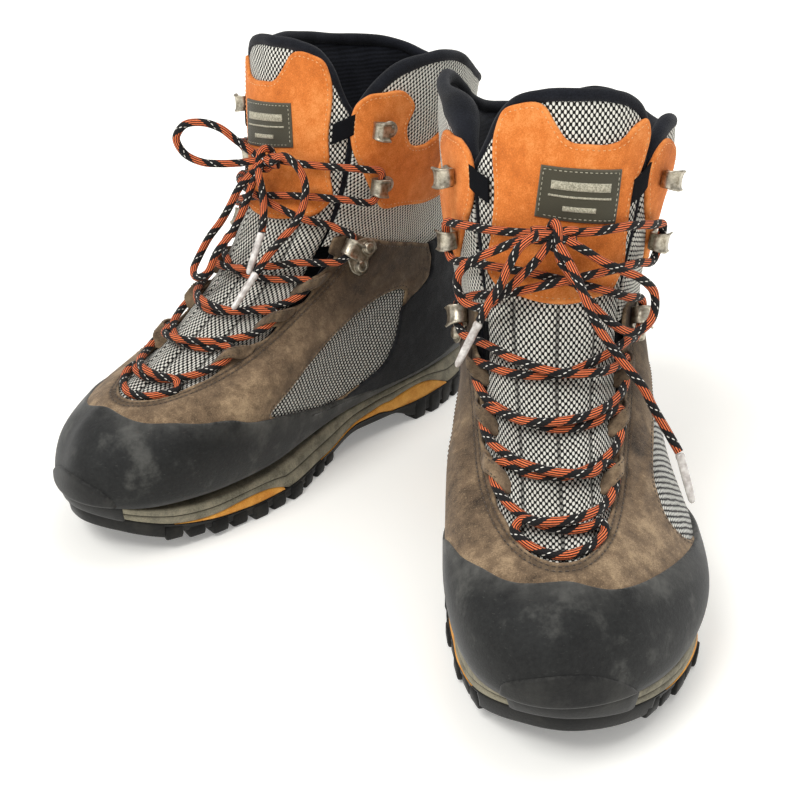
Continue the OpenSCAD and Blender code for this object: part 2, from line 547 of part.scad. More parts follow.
// ---- Placing -------------------------------------------------------------------------------
module part(name, side) {
    if (name == "outsole") outsole();
    if (name == "midsole_inserts") midsole_inserts();
    if (name == "midsole") midsole();
    if (name == "insole_board") insole_board();
    if (name == "footbed") footbed();
    if (name == "rand") rand();
    if (name == "toe_bumper") toe_bumper();
    if (name == "suede_vamp") suede_vamp();
    if (name == "side_mesh") side_mesh();
    if (name == "heel_cap") heel_cap();
    if (name == "cuff_shell") cuff_shell();
    if (name == "cuff_patches") cuff_patches();
    if (name == "collar_rim") collar_rim();
    if (name == "lining") lining();
    if (name == "tongue_lower") tongue_lower();
    if (name == "tongue_upper") tongue_upper();
    if (name == "tongue_patch") tongue_patch();
    if (name == "tongue_label") tongue_label();
    if (name == "tongue_straps") tongue_straps();
    if (name == "cuff_hooks") cuff_hooks();
    if (name == "instep_hooks") instep_hooks();
    if (name == "hook_rivets") hook_rivets();
    if (name == "lace_loops") lace_loops();
    if (name == "lace") lace();
    if (name == "lace_knot") lace_knot();
    if (name == "bow_loops") bow_loops(side);
    if (name == "lace_tails") lace_tails(side);
    if (name == "aglets") aglets(side);
    if (name == "pull_strap") pull_strap();
}

for (name = PARTS) {
    translate(left_place) rotate([0, 0, left_yaw]) part(name, "left");
    translate(right_place) rotate([0, 0, right_yaw]) mirror([1, 0, 0])
            part(name, "right");
}
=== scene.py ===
"""A pair of laced mountaineering boots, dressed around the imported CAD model.

Shapes are worked out in millimetres in the left boot's own frame (toe towards -Y, Z up). Boot.place
turns them into metres in the row frame, mirrored for the right boot. Points on the upper are (u, v):
u runs round the boot from the toe by the outer side (0 to 1, so the inner side is negative), and v
runs from the feather edge up to the top of the shaft.
"""
import json
import math
from functools import cached_property

import bpy
import numpy as np
from mathutils import Matrix, Vector
from mathutils.geometry import delaunay_2d_cdt
from mathutils.kdtree import KDTree


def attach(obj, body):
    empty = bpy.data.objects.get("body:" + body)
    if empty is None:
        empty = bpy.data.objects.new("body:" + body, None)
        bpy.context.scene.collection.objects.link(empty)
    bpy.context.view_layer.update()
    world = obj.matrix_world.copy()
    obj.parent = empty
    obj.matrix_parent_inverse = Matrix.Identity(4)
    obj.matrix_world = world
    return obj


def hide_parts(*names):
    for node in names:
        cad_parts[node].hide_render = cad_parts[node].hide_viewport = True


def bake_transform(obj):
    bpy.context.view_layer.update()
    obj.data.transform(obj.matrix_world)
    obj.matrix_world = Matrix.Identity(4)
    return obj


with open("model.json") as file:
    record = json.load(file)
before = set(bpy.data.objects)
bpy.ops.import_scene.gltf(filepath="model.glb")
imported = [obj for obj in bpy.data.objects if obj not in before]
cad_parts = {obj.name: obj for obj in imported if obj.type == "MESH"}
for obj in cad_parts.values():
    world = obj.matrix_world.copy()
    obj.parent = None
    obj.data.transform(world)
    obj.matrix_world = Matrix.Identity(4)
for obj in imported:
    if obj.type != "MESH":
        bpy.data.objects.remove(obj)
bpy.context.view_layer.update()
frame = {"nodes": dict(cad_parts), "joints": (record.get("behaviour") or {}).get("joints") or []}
PI, TURN = math.pi, math.tau
UP = np.array([0, 0, 1.0])

# ---- The upper's surface, as in the CAD source ------------------------------------------------
# Front y, front z, back y, back z, x of the front, outer half widths, inner half widths
STATIONS = (0.067, 0.25, 0.5, 0.75, 0.933)
RINGS = (
    (-134, 14, 140, 12, -4, (24, 46, 38, 34, 20), (30, 38, 27, 30, 20)),
    (-142, 28, 148, 26, -4, (31, 58, 48, 39, 25), (36, 44, 33, 36, 25)),
    (-143, 42, 151, 42, -4, (30, 62, 54, 42, 27), (36, 46, 36, 39, 27)),
    (-136, 57, 151, 60, -3, (25, 48, 54, 43, 26), (33, 45, 37, 39, 26)),
    (-116, 68, 148, 80, -2, (20, 39, 50, 41, 25), (26, 42, 37, 38, 25)),
    (-90, 73, 144, 100, 0, (18, 36, 47, 39, 24), (24, 38, 37, 37, 24)),
    (-62, 86, 141, 119, 0, (19, 35, 45, 37, 23), (23, 36, 39, 37, 23)),
    (-34, 103, 139, 136, 0, (21, 36, 44, 37, 23), (24, 37, 42, 37, 23)),
    (-10, 126, 139, 152, 1, (24, 40, 47, 38, 23), (26, 40, 46, 38, 23)),
    (0, 150, 142, 167, 2, (28, 45, 51, 41, 24), (28, 44, 49, 40, 24)),
    (4, 180, 145, 184, 2, (31, 49, 55, 44, 26), (30, 46, 51, 42, 26)),
    (8, 215, 147, 202, 2, (31, 50, 56, 45, 26), (30, 46, 52, 43, 26)),
)
NU, NR = 12, len(RINGS)


def ring_points(front_y, front_z, back_y, back_z, tip_x, outer, inner):
    """The twelve points of one ring, from the toe round by the outer side."""
    def points(halves, sign):
        return [(sign * x, front_y + (back_y - front_y) * s, front_z + (back_z - front_z) * s)
                for x, s in zip(halves, STATIONS)]
    return [(tip_x, front_y, front_z), *points(outer, 1), (0, back_y, back_z), *points(inner, -1)[::-1]]


def control_net():
    """B-spline control points, moved out so that the surface passes by the rings' points."""
    net = np.array([ring_points(*r) for r in RINGS], float)
    net = net - (np.roll(net, 1, 1) - 2 * net + np.roll(net, -1, 1)) / 6
    inner = net[1:-1] - (net[:-2] - 2 * net[1:-1] + net[2:]) / 6
    net = np.concatenate([net[:1], inner, net[-1:]])
    return np.concatenate([2 * net[:1] - net[1:2], net, 2 * net[-1:] - net[-2:-1]])


CONTROL = control_net()


def spline(t):
    return np.stack([(1 - t) ** 3, 3 * t**3 - 6 * t**2 + 4, -3 * t**3 + 3 * t**2 + 3 * t + 1, t**3]) / 6


def surf_inside(u, v):
    a, h = (u - np.floor(u)) * NU, np.clip(v, 0, 1) * (NR - 1)
    i, j = np.floor(a).astype(int) % NU, np.minimum(np.floor(h).astype(int), NR - 2)
    bu, bv = spline(a - np.floor(a)), spline(h - j)
    out = 0
    for p in range(4):
        for q in range(4):
            out = out + (bv[p] * bu[q])[..., None] * CONTROL[j + p, (i + q - 1) % NU]
    return out


def surf(u, v):
    """Points of the upper's surface; above its top edge it goes straight on."""
    u, v = np.broadcast_arrays(np.asarray(u, float), np.asarray(v, float))
    over, e = np.maximum(v - 1, 0)[..., None], 0.004
    top = np.ones_like(v)
    return surf_inside(u, v) + over * ((surf_inside(u, top) - surf_inside(u, top - e)) / e)


def surf_of(uv):
    return surf(uv[:, 0], uv[:, 1])


def slopes(u, v):
    """How the surface moves with u and with v."""
    e = 0.002
    w = np.clip(np.asarray(v, float), e, 1 - e)
    return (surf(u + e, w) - surf(u - e, w)) / (2 * e), (surf(u, w + e) - surf(u, w - e)) / (2 * e)


def unit(p):
    return p / np.maximum(np.linalg.norm(p, axis=-1, keepdims=True), 1e-9)


def normal(u, v):
    return unit(np.cross(*slopes(np.asarray(u, float), v)))


def ease(t):
    s = np.clip(t, 0, 1)
    return s * s * (3 - 2 * s)


def hump(x, middle, half):
    return ease(1 - np.abs(x - middle) / half)


def swell(u, v):
    """Soft unevenness and flex creases of the worn upper, in millimetres."""
    turn, high = TURN * np.asarray(u, float), np.asarray(v, float) * 300
    wave = np.sin(7 * turn + 1.3 * np.sin(high / 43)) + np.sin(high / 21 + 1.2 * np.sin(5 * turn))
    fine = np.sin(17 * turn + high / 19 + 2 * np.sin(3 * turn)) * np.sin(high / 13 + 3 * turn)
    crease = np.sin(high / 3.4 + 2.5 * np.sin(4 * turn)) * np.exp(-((high - 121) / 15) ** 2)
    sides = ease((np.abs(np.sin(turn / 2)) - 0.3) / 0.2)
    return ease((high - 60) / 30) * (0.3 * wave + 0.22 * fine + 0.3 * crease * sides)


def slack(u, v):
    """How far the worn upper has drawn in from its CAD skin."""
    w = (u + 0.5) % 1 - 0.5
    toe = 1.6 * hump(w, -0.11, 0.09) * ease((0.27 - v) / 0.12)
    toe = toe + 2.4 * hump(w, 0.035, 0.05) * hump(v, 0.24, 0.16)
    side = 2.4 * hump(w, 0.16, 0.09) * hump(v, 0.64, 0.17) - 3.2 * hump(w, -0.19, 0.09) * hump(v, 0.37, 0.17)
    return 1.3 + toe + side


def swerve(points):
    """How far the ball of the foot leans over the sole's outer side."""
    x = 3.2 * ease((-40 - points[..., 1]) / 40) * ease((45 - points[..., 2]) / 30)
    return np.stack([x, 0 * x, 0 * x], -1)


def at(u, v, d):
    """Points a distance d outside the upper's worn surface."""
    p = surf(u, v)
    return p + swerve(p) + (np.asarray(d, float) + swell(u, v) - slack(u, v))[..., None] * normal(u, v)


# ---- The two boots' places --------------------------------------------------------------------
PIVOT = surf(0.0, 0.645) - 9 * normal(0.0, 0.645)


class Boot:
    """Where one boot stands: worked out from its tongue's hinge in the frame."""

    def __init__(self, side):
        joint = next(j for j in frame["joints"] if j["name"] == side + "_tongue_flex")
        self.side, self.sign = side, 1 if side == "left" else -1
        c, s = joint["axis"][0], joint["axis"][1]
        self.turn = np.array([[c, -s, 0], [s, c, 0], [0, 0, 1]])
        self.origin = np.array(joint["pos_m"]) * 1000 - self.turn @ (PIVOT * [self.sign, 1, 1])
        self.origin[2] = 0

    def place(self, points):
        p = np.array(points, float)
        p[..., 2] += self.slump(*np.moveaxis(p, -1, 0))
        return (p * [self.sign, 1, 1] @ self.turn.T + self.origin) / 1000

    def slump(self, x, y, z):
        """How far each worn collar has dropped or risen behind the ankle."""
        if self.side == "right":
            return 0 * x
        rise, drop = 6 * ease(-x / 20) * hump(y, 98, 34), 17 * ease(x / 20) * hump(y, 84, 66)
        return ease((z - 145) / 45) * (rise - drop)

    def body(self, name="boot"):
        return self.side + "_" + name


BOOTS = (Boot("left"), Boot("right"))


# ---- Camera -----------------------------------------------------------------------------------
CAMERA_FROM_LEFT_BOOT = np.array([-65.8, -478.9, 322.3])
CAMERA_DOWN, CAMERA_ROLL = math.radians(28.9), math.radians(-0.58)


def make_camera():
    data = bpy.data.cameras.new("camera")
    data.lens, data.sensor_width = 55.3, 36
    data.shift_x, data.shift_y = 0.0009, 0.0644
    data.clip_start, data.clip_end = 0.01, 20
    cam = bpy.data.objects.new("camera", data)
    bpy.context.collection.objects.link(cam)
    ahead = np.array([0, math.cos(CAMERA_DOWN), -math.sin(CAMERA_DOWN)])
    right = np.array([1.0, 0, 0])
    up, c, s = np.cross(right, ahead), math.cos(CAMERA_ROLL), math.sin(CAMERA_ROLL)
    place = (BOOTS[0].origin + CAMERA_FROM_LEFT_BOOT) / 1000
    columns = np.column_stack([c * right + s * up, -s * right + c * up, -ahead, place])
    cam.matrix_world = Matrix([[*map(float, row)] for row in columns] + [[0, 0, 0, 1]])
    bpy.context.scene.camera = cam


make_camera()


# ---- Mesh making ------------------------------------------------------------------------------
def make_piece(boot, name, points, faces, material, slot, body="boot", replaces=(), uv=None,
               rim=None, seams=None, ride=True):
    """A mesh piece of one boot from points in millimetres. faces is a list of index arrays."""
    faces = [f[:, ::boot.sign] for f in faces]
    loops = np.concatenate([f.ravel() for f in faces])
    sizes = np.concatenate([np.full(len(f), f.shape[1]) for f in faces])
    mesh = bpy.data.meshes.new(boot.body(name))
    mesh.vertices.add(len(points))
    mesh.vertices.foreach_set("co", boot.place(points).ravel())
    mesh.loops.add(len(loops))
    mesh.polygons.add(len(sizes))
    mesh.polygons.foreach_set("loop_start", np.concatenate([[0], np.cumsum(sizes)[:-1]]))
    mesh.loops.foreach_set("vertex_index", loops.astype(np.int32))
    mesh.update(calc_edges=True)
    if isinstance(uv, list):
        uv = np.concatenate([c[:, ::boot.sign].reshape(-1, 2) for c in uv])
    elif uv is not None:
        uv = np.asarray(uv)[loops]
    if uv is not None:
        layer = mesh.uv_layers.new(name="millimetres")
        layer.data.foreach_set("uv", uv.astype(np.float32).ravel())
    for label, values in (("rim", rim), ("seam", seams)):
        if values is not None:
            attribute = mesh.attributes.new(label, "FLOAT", "POINT")
            attribute.data.foreach_set("value", np.asarray(values, np.float32))
    mesh.validate()
    mesh.polygons.foreach_set("use_smooth", np.ones(len(mesh.polygons), bool))
    mesh.materials.append(material)
    piece = bpy.data.objects.new(boot.body(name), mesh)
    bpy.context.collection.objects.link(piece)
    if ride:
        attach(piece, boot.body(body))
    if replaces:
        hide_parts(*[boot.body(r) for r in replaces])
    return piece


def both(*arguments, padded=0, **settings):
    """The same piece on each boot; padded is not used."""
    pieces = [make_piece(boot, *arguments, **settings) for boot in BOOTS]
    return pieces


def grid_faces(rows, columns, around=False, along=False):
    """Quads of a grid of points stored row by row; around closes columns, along closes rows."""
    i = np.arange(rows if along else rows - 1)[:, None]
    k = np.arange(columns if around else columns - 1)[None, :]
    low, high = (i % rows) * columns, ((i + 1) % rows) * columns
    near, far = k % columns, (k + 1) % columns
    return np.stack([low + near, low + far, high + far, high + near], -1).reshape(-1, 4)


def path_lengths(points):
    return np.concatenate([[0], np.cumsum(np.linalg.norm(np.diff(points, axis=0), axis=1))])


def curve_through(points, step, closed=False, sharp=()):
    """Points about step apart on a smooth curve through the given ones, with corners at sharp."""
    p = np.asarray(points, float)
    n = len(p)
    last = n if closed else n - 1
    ahead = np.roll(p, -1, 0) - p
    h = np.linalg.norm(ahead, axis=1)
    lines = ahead / h[:, None]

    def slope(i, after):
        before_ok, after_ok = closed or i > 0, closed or i < n - 1
        if i in sharp or not (before_ok and after_ok):
            return lines[i] if (after and after_ok) or not before_ok else lines[i - 1]
        return (lines[i] * h[i - 1] + lines[i - 1] * h[i]) / (h[i - 1] + h[i])

    out = []
    for i in range(last):
        j = (i + 1) % n
        k = max(int(np.ceil(h[i] / step)), 1)
        t = (np.arange(k) / k)[:, None]
        m0, m1 = slope(i, True) * h[i], slope(j, False) * h[i]
        out.append((2 * t**3 - 3 * t**2 + 1) * p[i] + (t**3 - 2 * t**2 + t) * m0
                   + (3 * t**2 - 2 * t**3) * p[j] + (t**3 - t**2) * m1)
    return np.concatenate(out if closed else [*out, p[-1:]])


# Millimetres for a whole turn of u and for the whole height of v, for drawing outlines
DRAWN = np.array([520.0, 300.0])


def outline(corners, step=1.2, closed=True):
    """A smooth (u, v) curve; a corner with a third entry is a sharp one."""
    sharp = [i for i, c in enumerate(corners) if len(c) == 3]
    return curve_through(np.array([c[:2] for c in corners]) * DRAWN, step, closed, sharp) / DRAWN


def inward(uv, mm, closed=True):
    """The curve moved to its left on the surface by mm."""
    step = np.roll(uv, -1, 0) - np.roll(uv, 1, 0) if closed else np.gradient(uv, axis=0)
    du, dv = slopes(uv[:, 0], uv[:, 1])
    along = unit(du * step[:, :1] + dv * step[:, 1:])
    side = unit(np.cross(unit(np.cross(du, dv)), along))
    a, b, c = (du * du).sum(-1), (du * dv).sum(-1), (dv * dv).sum(-1)
    r, s = (side * du).sum(-1) * mm, (side * dv).sum(-1) * mm
    det = a * c - b * b
    return uv + np.stack([(c * r - b * s) / det, (a * s - b * r) / det], -1)


def turned(loop, way):
    """The closed loop, running left-handed or right-handed."""
    x, y = loop[:, 0], loop[:, 1]
    area = (x * np.roll(y, -1) - np.roll(x, -1) * y).sum()
    return loop if area * way > 0 else loop[::-1]


def inside(points, loop):
    """Which points lie inside a closed loop."""
    x0, y0 = loop[:, 0][None], loop[:, 1][None]
    x1, y1 = np.roll(x0, -1), np.roll(y0, -1)
    found = []
    for i in range(0, len(points), 4000):
        x, y = points[i:i + 4000, :1], points[i:i + 4000, 1:]
        with np.errstate(divide="ignore", invalid="ignore"):
            left = x < x0 + (y - y0) * (x1 - x0) / (y1 - y0)
        found.append((((y0 > y) != (y1 > y)) & left).sum(1) % 2 == 1)
    return np.concatenate(found)


def distances_from(uv):
    """A function giving how far (u, v) points lie from a curve's (u, v) points, in millimetres."""
    tree = KDTree(len(uv))
    for i, p in enumerate(surf_of(uv)):
        tree.insert(p, i)
    tree.balance()
    return lambda points: np.array([tree.find(p)[2] for p in surf_of(points)])


def lattice(low, high, spacing):
    """Staggered (u, v) points about spacing apart on the surface between two corners."""
    rows = []
    v, us = low[1], np.linspace(low[0], high[0], 60)
    while v < high[1]:
        run = path_lengths(surf(us, v))
        marks = np.arange((len(rows) % 2) * spacing / 2, run[-1], spacing)
        rows.append(np.stack([np.interp(marks, run, us), np.full(len(marks), v)], -1))
        v += spacing * 0.87 / np.linalg.norm(slopes(us, np.full_like(us, v))[1], axis=-1).mean()
    return np.concatenate(rows)


def flatten(uv, centre, samples=12):
    """Millimetre coordinates of (u, v) points, measured on the surface from a centre."""
    t = np.linspace(0, 1, samples)
    out = []
    for k in (0, 1):
        way = [np.repeat(uv[:, i:i + 1], samples, 1) for i in (0, 1)]
        way[k] = centre[k] + (uv[:, k:k + 1] - centre[k]) * t
        run = np.linalg.norm(np.diff(surf(*way), axis=1), axis=-1).sum(1)
        out.append(run * np.sign(uv[:, k] - centre[k]))
    return np.stack(out, -1)


def panel_mesh(edge, holes, spacing, rows=(0.5, 1.2, 2.2), extra=()):
    """Triangles of a panel on the surface: (u, v) points, faces, distances from the rim, loops."""
    loops = [turned(edge, 1), *[turned(h, -1) for h in holes]]
    from_rim = distances_from(np.concatenate(loops))

    def on_panel(points):
        keep = inside(points, loops[0])
        for h in loops[1:]:
            keep &= ~inside(points, h)
        return keep

    fill = lattice(loops[0].min(0), loops[0].max(0), spacing)
    fill = fill[on_panel(fill)]
    fill = fill[from_rim(fill) > max(rows) + 0.45 * spacing]
    strips = []
    for mm in rows:
        for l in loops:
            moved = inward(l, mm)
            moved = moved[from_rim(moved) > 0.86 * mm]
            strips.append(moved[::2] if mm > 2 and len(moved) > 40 else moved)
    edges, start = [], 0
    for l in loops:
        n = len(l)
        edges += [(start + i, start + (i + 1) % n) for i in range(n)]
        start += n
    drawn = [Vector(p) for p in np.concatenate([*loops, *strips, *extra, fill]) * DRAWN]
    verts, _, faces, *_ = delaunay_2d_cdt(drawn, edges, [], 0, 1e-4)
    uv = np.array([tuple(v) for v in verts]) / DRAWN
    tris = np.array([f for f in faces if len(f) == 3])
    used, tris = np.unique(tris[on_panel(uv[tris].mean(1))], return_inverse=True)
    uv, tris = uv[used], tris.reshape(-1, 3)
    a, b = uv[tris[:, 1]] - uv[tris[:, 0]], uv[tris[:, 2]] - uv[tris[:, 0]]
    wrong = a[:, 0] * b[:, 1] - a[:, 1] * b[:, 0] < 0
    tris[wrong] = tris[wrong][:, ::-1]
    return uv, tris, from_rim(uv), loops


def rounded(far, top, radius):
    """Height of a sheet with a rounded edge, at a distance from its rim."""
    t = np.clip(1 - far / radius, 0, 1)
    return top - radius * (1 - np.sqrt(1 - t**2))


def close_up(uv, tris, top, bottom):
    """A closed solid of a panel: its points and faces, from top and bottom distances."""
    n = len(uv)
    edges = np.concatenate([tris[:, [0, 1]], tris[:, [1, 2]], tris[:, [2, 0]]])
    there = {tuple(e) for e in edges}
    rim = np.array([e for e in edges if (e[1], e[0]) not in there])
    walls = np.stack([rim[:, 1], rim[:, 0], rim[:, 0] + n, rim[:, 1] + n], -1)
    points = [at(uv[:, 0], uv[:, 1], d) for d in (top, np.full(n, bottom))]
    return np.concatenate(points), [tris, tris[:, ::-1] + n, walls]


def twice(values):
    return np.concatenate([values, values])


# ---- Materials --------------------------------------------------------------------------------
def tint(r, g, b):
    """Linear colour from everyday 0 to 255 values."""
    c = np.array([r, g, b]) / 255
    return (*np.where(c <= 0.04045, c / 12.92, ((c + 0.055) / 1.055) ** 2.4), 1.0)


class Value:
    """Something that nodes work out, with plain arithmetic."""

    def __init__(self, finish, socket):
        self.finish, self.socket = finish, socket

    def math(self, operation, *others):
        return self.finish.node("Math", self, *others, operation=operation)

    def __add__(self, other):
        return self.math("ADD", other)

    def __sub__(self, other):
        return self.math("SUBTRACT", other)

    def __rsub__(self, other):
        return self.finish.node("Math", other, self, operation="SUBTRACT")

    def __mul__(self, other):
        return self.math("MULTIPLY", other)

    def __truediv__(self, other):
        return self.math("DIVIDE", other)

    def __pow__(self, other):
        return self.math("POWER", other)

    def __abs__(self):
        return self.math("ABSOLUTE")

    def step(self, low, high):
        """0 below low, 1 above high, smooth between them."""
        return self.finish.node("MapRange", self, low, high, 0.0, 1.0, interpolation_type="SMOOTHSTEP")

    def wave(self, pitch):
        return (self * (TURN / pitch)).math("SINE")

    def parts(self):
        split = self.finish.node("SeparateXYZ", self).socket.node
        return [Value(self.finish, s) for s in split.outputs]


class Finish:
    """One material. Lengths in it are millimetres, and a tuple of three is a 0 to 255 colour."""

    def __init__(self, name, **sockets):
        self.material = bpy.data.materials.new(name)
        self.material.use_nodes = True
        self.tree = self.material.node_tree
        self.shader = self.tree.nodes["Principled BSDF"]
        for label, value in sockets.items():
            self.shader.inputs[label.replace("_", " ")].default_value = value

    def node(self, kind, *inputs, out=0, named=(), **settings):
        n = self.tree.nodes.new("ShaderNode" + kind)
        for label, value in settings.items():
            setattr(n, label, value)
        for key, value in [*enumerate(inputs), *dict(named).items()]:
            self.feed(n.inputs[key], value)
        return Value(self, n.outputs[out])

    def feed(self, socket, value):
        if isinstance(value, Value):
            self.tree.links.new(value.socket, socket)
        elif value is not None:
            socket.default_value = tint(*value) if isinstance(value, tuple) else value

    @cached_property
    def place(self):
        """Position in the boots' frame."""
        found = self.node("TexCoord", out="Object")
        return self.node("VectorMath", found, named={"Scale": 1000}, operation="SCALE")

    @cached_property
    def flat(self):
        """Position on the piece's own cloth: along it and across it."""
        return self.node("UVMap", uv_map="millimetres").parts()[:2]

    def noise(self, size, detail=3, rough=0.55, where=None):
        """Smooth noise from 0 to 1 whose lumps are about size wide."""
        settings = {"Vector": where or self.place, "Scale": 1 / size, "Detail": detail, "Roughness": rough}
        return self.node("TexNoise", named=settings, out="Fac")

    def mix(self, share, a, b):
        return self.node("Mix", named={0: share, 6: a, 7: b}, out=2, data_type="RGBA")

    def ramp(self, value, *stops):
        out = self.node("ValToRGB", value)
        elements = out.socket.node.color_ramp.elements
        while len(elements) < len(stops):
            elements.new(0.5)
        for element, (place, colour) in zip(elements, stops):
            element.position, element.color = place, tint(*colour)
        return out

    def near_rim(self, reach, full):
        return self.node("Attribute", attribute_name="rim", out="Fac").step(reach, full)

    def shade_grooves(self, colour, share, into):
        """The colour with painted shade in its seams' grooves: mixed towards another where they are pressed
        in.
        """
        groove_shade = self.node("Attribute", attribute_name="seam", out="Fac").step(0.2, 0.9)
        return self.mix(groove_shade * share, colour, into)

    def relief(self, height, depth, strength=1.0, under=None):
        """A bump from a 0 to 1 height, depth millimetres deep."""
        settings = {"Strength": strength, "Distance": depth / 1000, "Height": height, "Normal": under}
        return self.node("Bump", named=settings)

    def finish(self, colour, rough=None, relief=None):
        for label, value in (("Base Color", colour), ("Roughness", rough), ("Normal", relief)):
            self.feed(self.shader.inputs[label], value)
        return self.material


def suede(name, dark, middle, light, blotch, sheen, darker_upward=0.0):
    """Napped leather: blotches, a fine speckled nap and worn, paler edges; the last argument darkens it
    towards the top.
    """
    f = Finish(name, Sheen_Weight=sheen, Sheen_Roughness=0.6, Specular_IOR_Level=0.15)
    large, small, nap = f.noise(26, 4, 0.6), f.noise(5, 4, 0.65), f.noise(0.55, 3, 0.75)
    tone = large * blotch + small * 0.35 + nap * (0.65 - blotch * 0.5)
    centre = (1 + blotch * 0.5) / 2
    colour = f.ramp(tone, (centre - 0.2, dark), (centre, middle), (centre + 0.17, light))
    colour = f.mix(f.noise(0.8, 2, 0.5).step(0.6, 0.72) * 0.35, colour, light)
    # The suede is mixed towards its dark colour higher up the boot.
    if darker_upward:
        high = (f.place.parts()[2] + large * 24).step(74, 124)
        colour = f.mix(high * darker_upward, colour, dark)
    colour = f.mix(f.near_rim(2.2, 0.1) * small.step(0.35, 0.7) * 0.55, colour, light)
    # Painted shade in the seams' grooves.
    colour = f.shade_grooves(colour, 0.5, dark)
    return f.finish(colour, 0.93, f.relief(nap, 0.35, 0.7, f.relief(small, 0.8, 0.5)))


def dotted(name, wide, tall, slim=3.9, short=3.2, turn=0.0, shear=0.0, pale=(252, 250, 238), dust=0.1):
    """Woven cloth: staggered pale floats on a black ground."""
    f = Finish(name, Sheen_Weight=0.15, Specular_IOR_Level=0.2)
    x, y = f.flat
    c, s = math.cos(turn), math.sin(turn)
    wobble = (f.noise(7, 1) - 0.5) * 0.7
    across, along = x * c + y * s + wobble, y * c - x * (s + shear) + wobble

    def floats(shift):
        a = ((across / wide + shift).math("FRACT") - 0.5) * slim
        b = ((along / tall + shift).math("FRACT") - 0.5) * short
        return 1.0 - (abs(a) ** 2.6 + abs(b) ** 2.6)

    height = floats(0.0).math("MAXIMUM", floats(0.5))
    strand = f.noise(0.25, 2, 0.6)
    white = f.mix(strand * 0.5, pale, tuple(k * 0.62 for k in pale))
    white = f.mix(f.noise(16, 4).step(0.45, 0.75) * dust, white, (120, 112, 92))
    # The pale floats are darkened in the seams' grooves as painted shade.
    white = f.shade_grooves(white, 0.7, (40, 38, 34))
    colour = f.mix(height.step(0.0, 0.35), f.mix(strand, (5, 5, 5), (26, 25, 23)), white)
    return f.finish(colour, strand * 0.2 + 0.75, f.relief(height.step(-0.4, 0.8), 0.45, 0.9))


def soft_cloth(name, dark, light, size=0.9, ribs=0.0):
    """Brushed lining cloth, knitted in level ribs where ribs gives their pitch."""
    f = Finish(name, Sheen_Weight=0.12, Sheen_Roughness=0.5, Specular_IOR_Level=0.1)
    fuzz = f.noise(size, 4, 0.7)
    if ribs:
        rib = (f.place.parts()[2] + f.noise(12, 1) * 2.0).wave(ribs)
        fuzz = fuzz * 0.7 + rib * 0.12 + 0.12
    colour = f.ramp(fuzz * 0.6 + f.noise(14, 3) * 0.4, (0.38, dark), (0.68, light))
    # Painted shade in the seams' grooves.
    return f.finish(f.shade_grooves(colour, 0.5, dark), 0.95, f.relief(fuzz, 0.4, 0.6))


def dusty_rubber(name, dark, light, dust, amount, rough=0.62):
    """Moulded rubber with fine pores, scuffs along its rims and dust."""
    f = Finish(name, Specular_IOR_Level=0.22, Sheen_Weight=0.16, Sheen_Roughness=0.45)
    cloud, fine, pores = f.noise(22, 5, 0.65), f.noise(1.6, 3, 0.6), f.noise(0.4, 2, 0.6)
    colour = f.ramp(cloud * 0.6 + fine * 0.4, (0.36, dark), (0.66, light))
    stretched = f.node("Mapping", f.place, named={"Scale": [0.4, 1.0, 2.2]})
    for share in (cloud.step(0.5, 0.72) * amount,
                  f.noise(1.5, 4, 0.7, stretched).step(0.6, 0.72) * (amount * 0.45),
                  f.near_rim(13, 0.5) * cloud.step(0.3, 0.62) * (amount * 0.85),
                  f.near_rim(1.6, 0.1) * fine.step(0.4, 0.65) * (amount * 0.8)):
        colour = f.mix(share, colour, dust)
    bumps = f.relief(pores, 0.12, 0.5, f.relief(fine, 0.25, 0.4))
    return f.finish(colour, cloud * 0.3 + (rough - 0.1), bumps)


LACE_PITCH, LACE_DIAMETER = 15.0, 3.7
FLECK = 0.42


def lace_cloth():
    """Braided cord: bands of three orange lines between black bands flecked with white."""
    f = Finish("lace", Sheen_Weight=0.06, Specular_IOR_Level=0.25)
    x, y = f.flat
    around = PI * LACE_DIAMETER
    line_pitch, bead_pitch = around / 12, around / 8
    band = ((x + y * (LACE_PITCH / around)) / LACE_PITCH).math("FRACT")
    lit = abs((y / line_pitch).math("FRACT") - 0.5).step(0.3, 0.19)
    ends = band.step(0.02, 0.05) * band.step(0.5, 0.47)
    row = abs(band - 0.75) * LACE_PITCH * (1 / FLECK)
    bead = ((y / bead_pitch).math("FRACT") - 0.5) * bead_pitch * (1 / FLECK)
    braid = ((x + y).wave(1.3).math("MAXIMUM", (x - y).wave(1.3)) + 1.0) * 0.5
    colour = f.mix(ends * 0.4, f.mix(braid, (3, 3, 4), (20, 18, 19)), (34, 8, 6))
    colour = f.mix(lit * ends, colour, f.mix(f.noise(0.9, 2), (214, 78, 36), (255, 150, 92)))
    colour = f.mix((bead * bead + row * row).step(1.1, 0.7), colour, (236, 232, 222))
    return f.finish(colour, 0.7, f.relief(braid * 0.5 + lit * 0.5, 0.3, 0.7))


def worn_metal():
    f = Finish("nickel", Metallic=1.0)
    cloud = f.noise(2.5, 4, 0.7)
    colour = f.ramp(cloud, (0.35, (128, 120, 104)), (0.65, (206, 198, 180)))
    return f.finish(colour, cloud * 0.28 + 0.24, f.relief(f.noise(0.5, 3, 0.7), 0.05, 0.5))


def ribbed_web():
    """Black elastic webbing."""
    f = Finish("elastic", Specular_IOR_Level=0.12)
    x, y = f.flat
    height = (y.wave(0.9) * x.wave(0.7) + 1.0) * 0.5
    return f.finish(f.mix(height, (6, 7, 9), (24, 25, 30)), 0.85, f.relief(height, 0.3, 0.8))


def clear_tip():
    f = Finish("clear_tip", Roughness=0.22, Coat_Weight=0.4, Specular_IOR_Level=0.6)
    cloudy = f.noise(3)
    colour = f.ramp(cloudy, (0.35, (176, 168, 162)), (0.65, (228, 224, 218)))
    return f.finish(colour, None, f.relief(cloudy, 0.2, 0.3))


